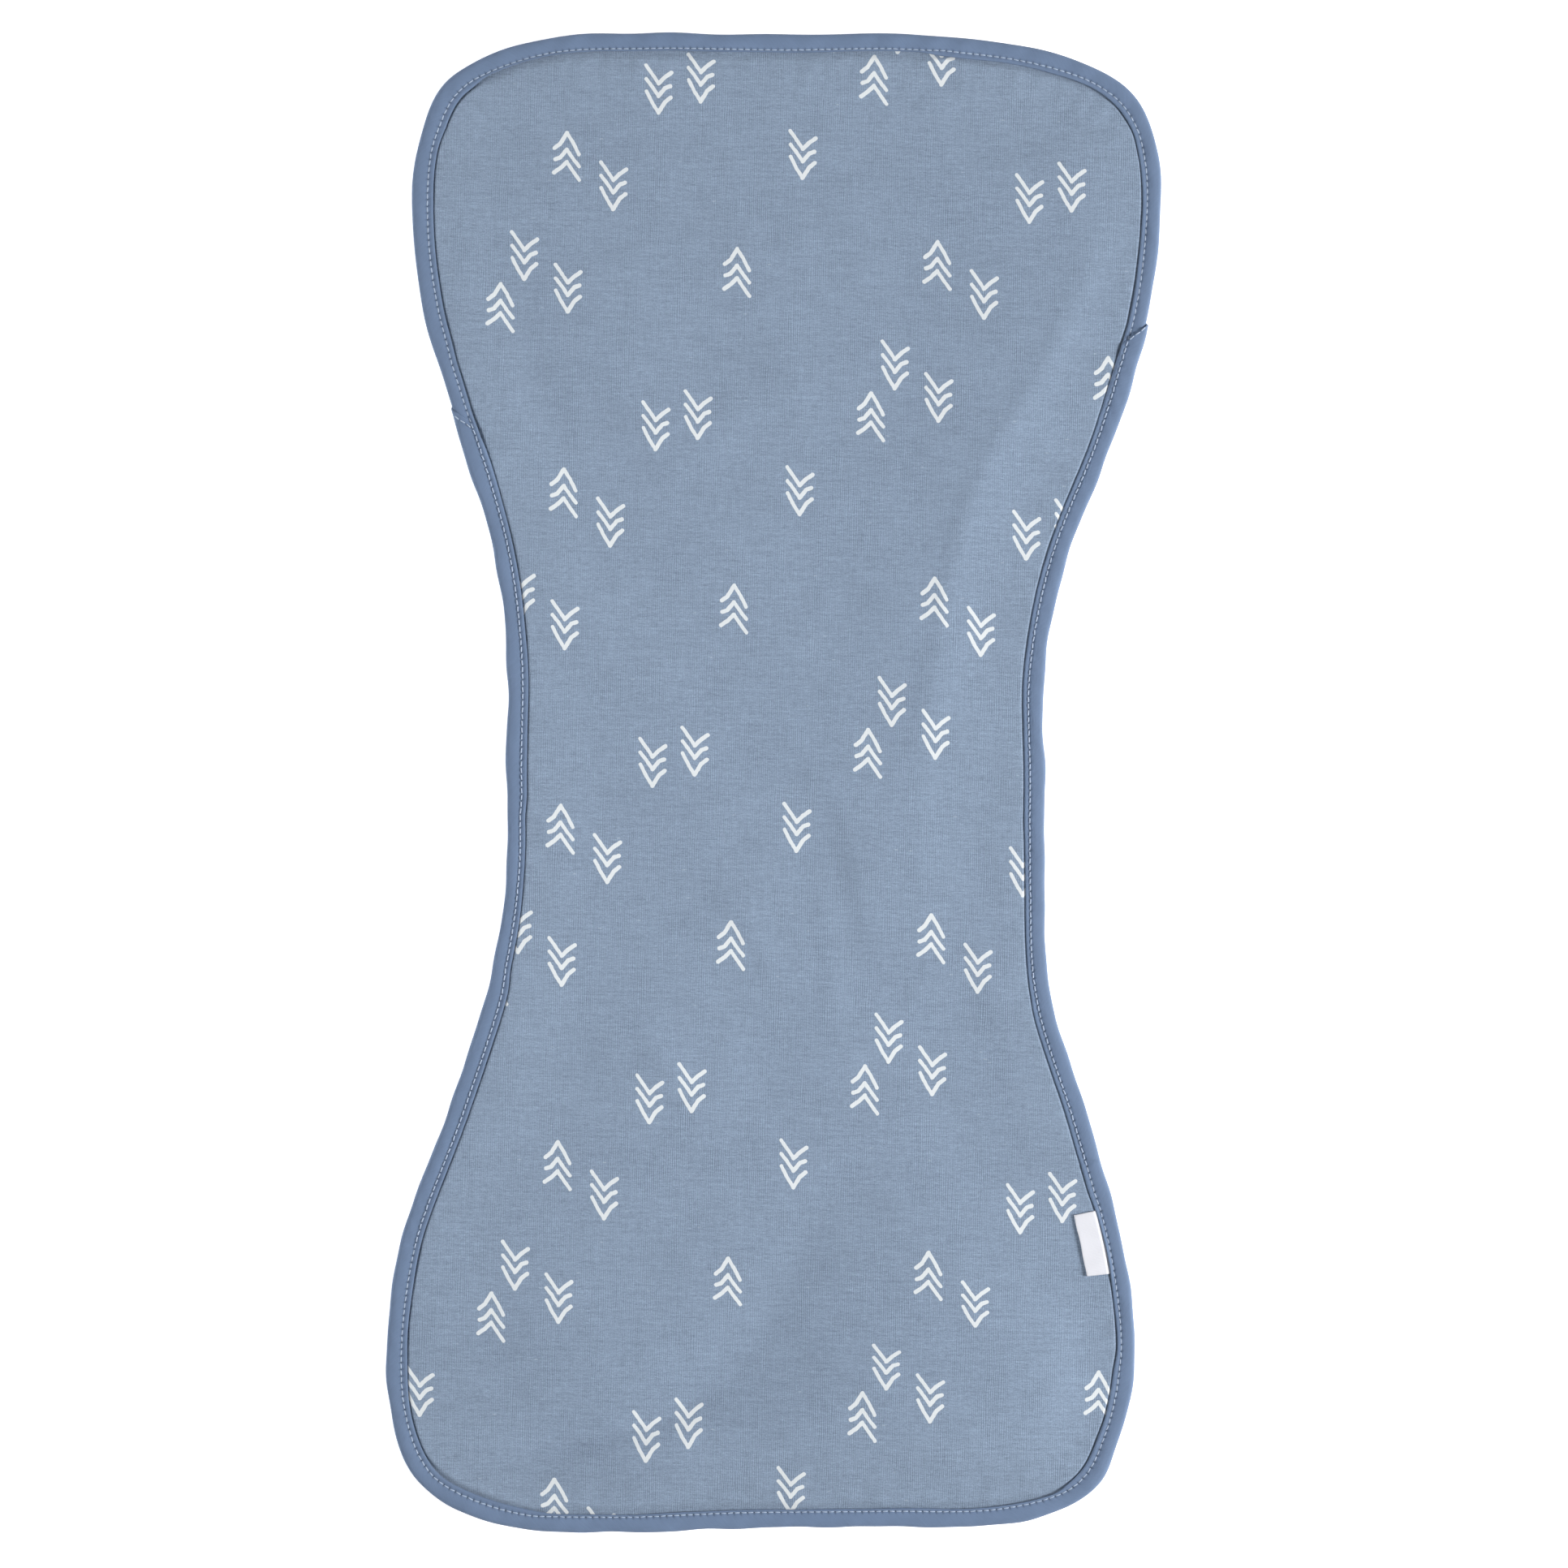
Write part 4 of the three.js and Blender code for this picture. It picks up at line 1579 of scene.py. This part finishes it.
    def _points(self, s: np.ndarray, w: np.ndarray, z: np.ndarray, side: np.ndarray) -> np.ndarray:
        """Places sections in the frame.

        Args:
            s: Distance along the edge.
            w: Distance in from the fold.
            z: Height.
            side: -1 under the panel, 1 on its printed face.

        Returns:
            The points.
        """
        layers = self.layers
        stray, fold = Waver(self.seed + 2, self.edge_length), Waver(self.seed + 3, self.fold_length)
        on_face = np.clip(side, 0.0, 1.0)
        shown, seam = layers.tape_shown(s), layers.seam_at(s)
        flange = (w - layers.seam_inset) / (layers.tape_width - layers.seam_inset)
        sewn = np.where(flange < 0.0, w * seam / layers.seam_inset, seam + (shown - seam) * flange)
        strays = self.edge_stray * stray.at(s) * on_face * (w > self.flange_from)
        moved = w + (sewn - w) * on_face + strays
        moved = moved - self.fold_stray * fold.at(s) * np.clip(1.0 - w / self.fold_reach, 0.0, 1.0)
        s, w, z = self.lie(s, moved, z, side)
        return np.dstack([layers.outline.place(s, w), z])


@dataclass
class UpperTape(BiasTape):
    """The tape round the top edge, whose two ends are tucked inside the lower tape."""

    def span(self) -> tuple[float, float]:
        """Distances along the edge of the tape's two ends, clockwise."""
        right, left = self.layers.join_runs
        return left - self.layers.tuck - self.layers.outline.length, right + self.layers.tuck

    def lie(self, s: np.ndarray, w: np.ndarray, z: np.ndarray,
            side: np.ndarray) -> tuple[np.ndarray, np.ndarray, np.ndarray]:
        """Draws the tape in and lifts it where it lies inside the lower one."""
        rise = self.layers.lap * self.layers.rise(s)
        return s, w + rise / 2.0 * self.layers.wrapped(w), z + rise


@dataclass
class LowerTape(BiasTape):
    """The tape round the sides and the bottom, whose ends are folded on the slant over the upper one.

    Over the tucked end its wall bends down to the panel by its share, and the folded end settles.
    """

    bend_share: float = 0.75
    bend_from: float = 6.3
    bend_run: float = 0.7
    end_settle: float = 0.24
    settle_run: float = 3.0

    def span(self) -> tuple[float, float]:
        """Distances along the edge of the tape's two ends, clockwise."""
        return self.layers.join_runs

    def lie(self, s: np.ndarray, w: np.ndarray, z: np.ndarray,
            side: np.ndarray) -> tuple[np.ndarray, np.ndarray, np.ndarray]:
        """Slants the tape's ends and lays them over the upper tape.

        Args:
            s: Distance along the edge.
            w: Distance in from the edge.
            z: Height.
            side: -1 under the panel, 1 on its printed face, 0 at the fold.

        Returns:
            The moved s, w and z.
        """
        layers = self.layers
        past = [layers.past_join(index, s) for index in range(len(layers.joins))]
        nearer = np.abs(past[0]) <= np.abs(past[1])
        slant = [join.runs.value * layers.slant * side * w * np.maximum(0.0, 1.0 - far / layers.slant_fade)
                 for join, far in zip(layers.joins, past)]
        s = s + np.where(nearer, *slant)
        rise = layers.lap * layers.rise(s)
        on_face = np.clip(side, 0.0, 1.0)
        bent = self.bend_share * rise * (1.0 - ease_down((w - self.bend_from) / self.bend_run))
        settled = self.end_settle * ease_down(np.minimum(*past) / self.settle_run)
        z = z + rise * (1.0 + side) - on_face * (bent + settled)
        return s, w - rise / 2.0 * layers.wrapped(w), z


@dataclass(frozen=True)
class StitchNodes:
    """The node tree that lays one stitch at every point of a path."""

    sizes: tuple[str, ...] = ("Length", "Radius", "Bow", "Sink", "Tilt")
    bends: int = 4
    sides: int = 6

    def make(self) -> bpy.types.NodeTree:
        """Builds the tree.

        Returns:
            The tree.
        """
        tree = bpy.data.node_groups.new("seam_stitches", "GeometryNodeTree")
        sockets = tree.interface
        sockets.new_socket("Path", in_out="INPUT", socket_type="NodeSocketGeometry")
        for name in self.sizes:
            sockets.new_socket(name, in_out="INPUT", socket_type="NodeSocketFloat")
        sockets.new_socket("Seed", in_out="INPUT", socket_type="NodeSocketInt")
        sockets.new_socket("Thread", in_out="INPUT", socket_type="NodeSocketMaterial")
        sockets.new_socket("Stitches", in_out="OUTPUT", socket_type="NodeSocketGeometry")
        bench = Bench(tree)
        given = {socket.name: Wire(bench, socket) for socket in bench.node("NodeGroupInput").outputs}
        points = self._points(bench, given["Path"])
        turned = self._turned(bench, points, given)
        laid = bench.wire("GeometryNodeRealizeInstances", None, {"Geometry": turned})
        dressed = bench.wire("GeometryNodeSetMaterial", None, {
            "Geometry": laid, "Material": given["Thread"]})
        bench.node("NodeGroupOutput", None, {"Stitches": dressed})
        return tree

    def _points(self, bench: Bench, path: Wire) -> bpy.types.Node:
        """A point for each stitch of the path's edges, with the direction of the seam there."""
        curve = bench.wire("GeometryNodeMeshToCurve", None, {"Mesh": path})
        return bench.node("GeometryNodeCurveToPoints", {"mode": "EVALUATED"}, {"Curve": curve})

    def _stitch(self, bench: Bench, given: dict[str, Wire]) -> Wire:
        """One stitch along X: a short bowed tube whose ends sink into the needle holes.

        Args:
            bench: The tree's bench.
            given: The tree's inputs by name.

        Returns:
            The stitch's mesh.
        """
        half = given["Length"] * 0.5
        start, end = (bench.join(X=half * way, Z=given["Sink"]) for way in (-1.0, 1.0))
        middle = bench.join(Z=given["Bow"])
        line = bench.wire("GeometryNodeCurveQuadraticBezier", None, {
            "Resolution": self.bends, "Start": start, "Middle": middle, "End": end})
        section = bench.wire("GeometryNodeCurvePrimitiveCircle", None, {
            "Resolution": self.sides, "Radius": given["Radius"]})
        return bench.wire("GeometryNodeCurveToMesh", None, {
            "Curve": line, "Profile Curve": section, "Fill Caps": True})

    def _turned(self, bench: Bench, points: bpy.types.Node, given: dict[str, Wire]) -> Wire:
        """The stitches on their points, along the seam and each a little askew.

        Args:
            bench: The tree's bench.
            points: The node with points and tangents.
            given: The tree's inputs by name.

        Returns:
            The instances.
        """
        tangent = Wire(bench, points.outputs["Tangent"])
        level = bench.wire("FunctionNodeAlignRotationToVector", {"axis": "X", "pivot_axis": "Z"},
                           {"Vector": tangent})
        sloped = bench.wire("FunctionNodeAlignRotationToVector", {"axis": "X", "pivot_axis": "Y"},
                            {"Rotation": level, "Vector": tangent})
        laid = bench.wire("GeometryNodeInstanceOnPoints", None, {
            "Points": Wire(bench, points.outputs["Points"]), "Instance": self._stitch(bench, given),
            "Rotation": sloped})
        askew = bench.wire("FunctionNodeRandomValue", {"data_type": "FLOAT"}, {
            "Min": given["Tilt"] * -1.0, "Max": given["Tilt"], "Seed": given["Seed"]}, out=1)
        turn = bench.wire("FunctionNodeEulerToRotation", None, {0: bench.join(Z=askew)})
        return bench.wire("GeometryNodeRotateInstances", None, {"Instances": laid, "Rotation": turn})


@dataclass
class SeamStitches:
    """The topstitching: one row all round each face, and a short row across each folded tape end.

    Branch steps and heights are the short row's distances in from the edge and its heights there.
    """

    layers: Layers
    length: float = 1.56
    radius: float = 0.2
    bow: float = 0.32
    sink: float = -0.2
    tilt: float = math.radians(8.0)
    tilt_seed: int = 4
    seam_height: float = 2.86
    under_height: float = 0.26
    thread_lift: float = 0.02
    blend_run: float = 10.0
    branch_steps: tuple[float, ...] = (3.9, 2.55, 1.2)
    branch_heights: tuple[float, ...] = (3.1, 3.22, 3.06)

    def build(self, face: Face, tree: bpy.types.NodeTree, thread: bpy.types.Material) -> bpy.types.Object:
        """Builds the stitches of one face.

        Args:
            face: The face that they show on.
            tree: The tree that lays them.
            thread: Their finish.

        Returns:
            The piece.
        """
        rows = [self._row(face)]
        if face is Face.PRINTED:
            rows += [self._branch(index) for index in range(len(self.layers.joins))]
        points, edges = [], []
        for row in rows:
            first = len(points)
            points += (row * MM).tolist()
            edges += [(k, k + 1) for k in range(first, len(points) - 1)]
            if first == 0:
                edges.append((len(points) - 1, first))
        mesh = bpy.data.meshes.new("seam_path")
        mesh.from_pydata(points, edges, [])
        piece = show(f"stitches_{face.name.lower()}", mesh)
        self._lay(piece, tree, {
            "Length": self.length * MM, "Radius": self.radius * MM, "Bow": self.bow * face.value * MM,
            "Sink": self.sink * face.value * MM, "Tilt": self.tilt, "Seed": self.tilt_seed,
            "Thread": thread})
        return piece

    def _lay(self, piece: bpy.types.Object, tree: bpy.types.NodeTree, sizes: dict[str, object]) -> None:
        """Turns the path into a plain mesh of stitches.

        Args:
            piece: The object that holds the path.
            tree: The tree that lays the stitches.
            sizes: The tree's inputs by name.
        """
        modifier = piece.modifiers.new("stitches", "NODES")
        modifier.node_group = tree
        for item in tree.interface.items_tree:
            if item.name in sizes and item.in_out == "INPUT":
                modifier[item.identifier] = sizes[item.name]
        ready = bpy.context.evaluated_depsgraph_get()
        laid = bpy.data.meshes.new_from_object(piece.evaluated_get(ready), depsgraph=ready)
        piece.modifiers.remove(modifier)
        piece.data = laid
        laid.shade_smooth()

    def _row(self, face: Face) -> np.ndarray:
        """Middles of the stitches of the main row.

        Args:
            face: The face that they show on.

        Returns:
            The points.
        """
        layers = self.layers
        s = layers.seam.along((np.arange(layers.seam.count) + 0.5) * layers.seam.pitch)
        right, left = layers.join_runs
        span = np.mod(left - right, layers.outline.length)
        past = np.mod(s - right, layers.outline.length)
        slanted = layers.slant * layers.seam_inset * face.value
        on_lower = (past > slanted) & (past < span - slanted)
        from_fold = np.minimum.reduce([
            np.abs(layers.past_join(index, s) - slanted) for index in range(len(layers.joins))])
        rise = layers.lap * layers.rise(s)
        inset, base, lifts = np.full(s.shape, layers.seam_inset), self.under_height, (0.0, 1.0)
        if face is Face.PRINTED:
            inset, base, lifts = layers.seam_at(s), self.seam_height, (2.0, 1.0)
        shift = np.where(on_lower, -rise, rise) / 2.0 * layers.wrapped(inset)
        drawn = shift * np.clip(from_fold / self.blend_run, 0.0, 1.0)
        height = base + np.where(on_lower, *lifts) * rise + self.thread_lift * face.value
        return np.column_stack([layers.outline.place(s, inset + drawn), height])

    def _branch(self, index: int) -> np.ndarray:
        """Middles of the stitches that run beside one folded end, out to the edge.

        Args:
            index: 0 for the right join, 1 for the left one.

        Returns:
            The points.
        """
        layers = self.layers
        w, heights = np.array(self.branch_steps), np.array(self.branch_heights)
        join = layers.joins[index]
        s = layers.join_runs[index] + join.runs.value * (layers.slant * w + join.branch_back)
        rise = layers.lap * layers.rise(s)
        flat = layers.outline.place(s, w - rise / 2.0 * layers.wrapped(w))
        return np.column_stack([flat, heights + 2.0 * rise + self.thread_lift])


@dataclass
class RibbonLabel:
    """A blank ribbon, folded in two, its ends caught under the tape at the lower right."""

    layers: Layers
    relief: Relief
    root: float = 5.6
    fold: float = 14.1
    ply: float = 0.2
    apart: float = 0.12
    clear: float = 0.1
    lift: float = 0.16
    skew: float = 0.06
    rows: int = 44
    columns: int = 14
    turns: int = 7
    ripple: float = 0.09
    ripple_length: float = 13.0
    ripple_seed: int = 31
    ripple_across: float = 0.6
    edge_stray: float = 0.18

    def build(self, satin: bpy.types.Material) -> bpy.types.Object:
        """Builds the label.

        Args:
            satin: Its finish.

        Returns:
            The piece.
        """
        half, wave = self.layers.label_half, Waver(self.ripple_seed, self.ripple_length)
        bend = self.ply + self.apart / 2.0
        outer, inner = self._skin(bend, bend), self._skin(self.apart / 2.0, bend)
        w, z = np.hstack([outer, inner[:, ::-1]])[:, None, ::-1]
        along = np.linspace(-half, half, self.rows)[:, None]
        out = np.maximum(w - self.root, 0.0) / (self.fold - self.root)
        s = self.layers.label_run + along - self.skew * (w - self.root)
        w = w + self.edge_stray * wave.at(s) * out
        x, y = np.moveaxis(self.layers.outline.place(s, w), -1, 0)
        ground = self.relief.face(s, w, x, y)
        ripple = self.ripple * out * wave.at(s, self.ripple_across * w)
        height = ground + self.clear + self.lift * out ** 2 + ripple + (z + bend)
        loops = np.dstack([x, y, height])
        piece = make_piece("ribbon_label", loops.reshape(-1, 3), tube_faces(*loops.shape[:2]), (satin,))
        across = np.cumsum(np.concatenate([[0.0], np.linalg.norm(np.diff(outer), axis=0)]))
        across = np.concatenate([across, across[::-1]])
        map_cloth(piece, np.dstack(np.broadcast_arrays(along, across[None, :])).reshape(-1, 2))
        return piece

    def _skin(self, reach: float, bend: float) -> np.ndarray:
        """One skin of the folded ribbon, from its lower end round the fold to its upper end.

        Args:
            reach: How far the skin is from the fold's middle.
            bend: How far the outermost skin is.

        Returns:
            A row of distances in from the edge and a row of heights.
        """
        turn = np.linspace(-0.5 * np.pi, 0.5 * np.pi, self.turns)[1:-1]
        straight = np.linspace(self.root, self.fold - bend, self.columns)
        level = np.full(self.columns, reach)
        w = np.concatenate([straight, self.fold - bend + reach * np.cos(turn), straight[::-1]])
        return np.array([w, np.concatenate([-level, reach * np.sin(turn), level])])


@dataclass(frozen=True)
class Lamp:
    """A square soft light that faces the cloth's middle, with its side in metres and power in watts."""

    name: str
    place: tuple[float, float, float]
    size: float
    power: float
    spread: float = math.pi

    def light(self) -> None:
        """Adds the light to the scene."""
        data = bpy.data.lights.new(self.name, "AREA")
        data.size, data.energy, data.spread = self.size, self.power, self.spread
        lamp = show(self.name, data)
        lamp.location = self.place
        lamp.rotation_euler = (-lamp.location).to_track_quat("-Z", "Y").to_euler()


@dataclass
class Studio:
    """The pale floor, the soft light and the camera. Sizes here are in metres."""

    floor_size: float = 6.0
    floor_drop: float = 0.0001
    floor_shade: float = 0.92
    floor_glow: float = 0.62
    view_height: float = 1.251
    view_at: tuple[float, float] = (0.00342, -0.00003)
    view_turn: float = math.radians(1.432)
    lens: float = 85.0
    sensor: float = 36.0
    lamps: tuple[Lamp, ...] = (
        Lamp("key", (2.5, -0.3, 1.25), 0.9, 107.0),
        Lamp("side", (-2.4, 0.3, 0.8), 0.9, 39.0),
        Lamp("top", (0.04, 0.0, 1.7), 0.4, 0.4, math.radians(45.0)),
    )
    sky: float = 0.1

    def build(self) -> bpy.types.Object:
        """Sets up the scene round the cloth.

        Returns:
            The floor.
        """
        scene = bpy.context.scene
        scene.view_settings.view_transform = "Standard"
        half, level = self.floor_size / 2.0, -self.floor_drop
        corners = [(-half, -half, level), (half, -half, level), (half, half, level), (-half, half, level)]
        mesh = bpy.data.meshes.new("floor")
        mesh.from_pydata(corners, [], [(0, 1, 2, 3)])
        paint = Finish("studio_floor", roughness=0.9, sheen=0.0)
        paint.shader.inputs["Base Color"].default_value = (*[self.floor_shade] * 3, 1.0)
        paint.shader.inputs["Emission Color"].default_value = (1.0, 1.0, 1.0, 1.0)
        paint.shader.inputs["Emission Strength"].default_value = self.floor_glow
        mesh.materials.append(paint.material)
        floor = show("floor", mesh)
        for lamp in self.lamps:
            lamp.light()
        world = bpy.data.worlds.new("studio")
        world.use_nodes = True
        backdrop = world.node_tree.nodes["Background"]
        backdrop.inputs["Color"].default_value = (1.0, 1.0, 1.0, 1.0)
        backdrop.inputs["Strength"].default_value = self.sky
        scene.world = world
        self._camera()
        return floor

    def _camera(self) -> None:
        """Adds the camera, straight above the cloth and turned as little as the photograph is."""
        data = bpy.data.cameras.new("camera")
        data.lens, data.sensor_width = self.lens, self.sensor
        camera = show("camera", data)
        camera.location = (*self.view_at, self.view_height)
        camera.rotation_euler = (0.0, 0.0, self.view_turn)
        bpy.context.scene.camera = camera


@dataclass
class BurpCloth:
    """The whole cloth: panel, both tapes, stitches and label."""

    layers: Layers
    relief: Relief

    def build(self) -> list[bpy.types.Object]:
        """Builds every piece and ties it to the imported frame.

        Returns:
            The pieces, the panel first.
        """
        knit = HeatherKnit()
        weave, thread, satin = BiasWeave().make(), SewingThread().make(), SatinRibbon().make()
        panel = Panel(self.layers, self.relief).build(knit.make(Face.PRINTED), knit.make(Face.UNDER))
        upper = UpperTape(self.layers, "tape_upper", seed=41).build(weave)
        lower = LowerTape(self.layers, "tape_lower", seed=51).build(weave)
        label = RibbonLabel(self.layers, self.relief).build(satin)
        tree = StitchNodes().make()
        seams = [SeamStitches(self.layers).build(face, tree, thread) for face in Face]
        placed = (
            (panel, "panel", "heather_knit"),
            (upper, "binding_upper", "bias_tape"),
            (lower, "binding_lower", "bias_tape"),
            (label, "label", "ribbon"),
            *((seam, None, "thread") for seam in seams),
        )
        for piece, node, slot in placed:
            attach(piece, BODY)
            if node:
                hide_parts(node)
            piece.data.calc_loop_triangles()
            log.info("%s: %d triangles", piece.name, len(piece.data.loop_triangles))
        return [piece for piece, _, _ in placed]


def main() -> None:
    logging.basicConfig(level=logging.INFO, format="%(message)s")
    outline = Outline()
    layers = Layers(outline)
    floor = Studio().build()
    panel, *trims = BurpCloth(layers, Relief(layers)).build()
    outline.area_inside(0.0) * MM ** 2


if __name__ == "__main__":
    main()
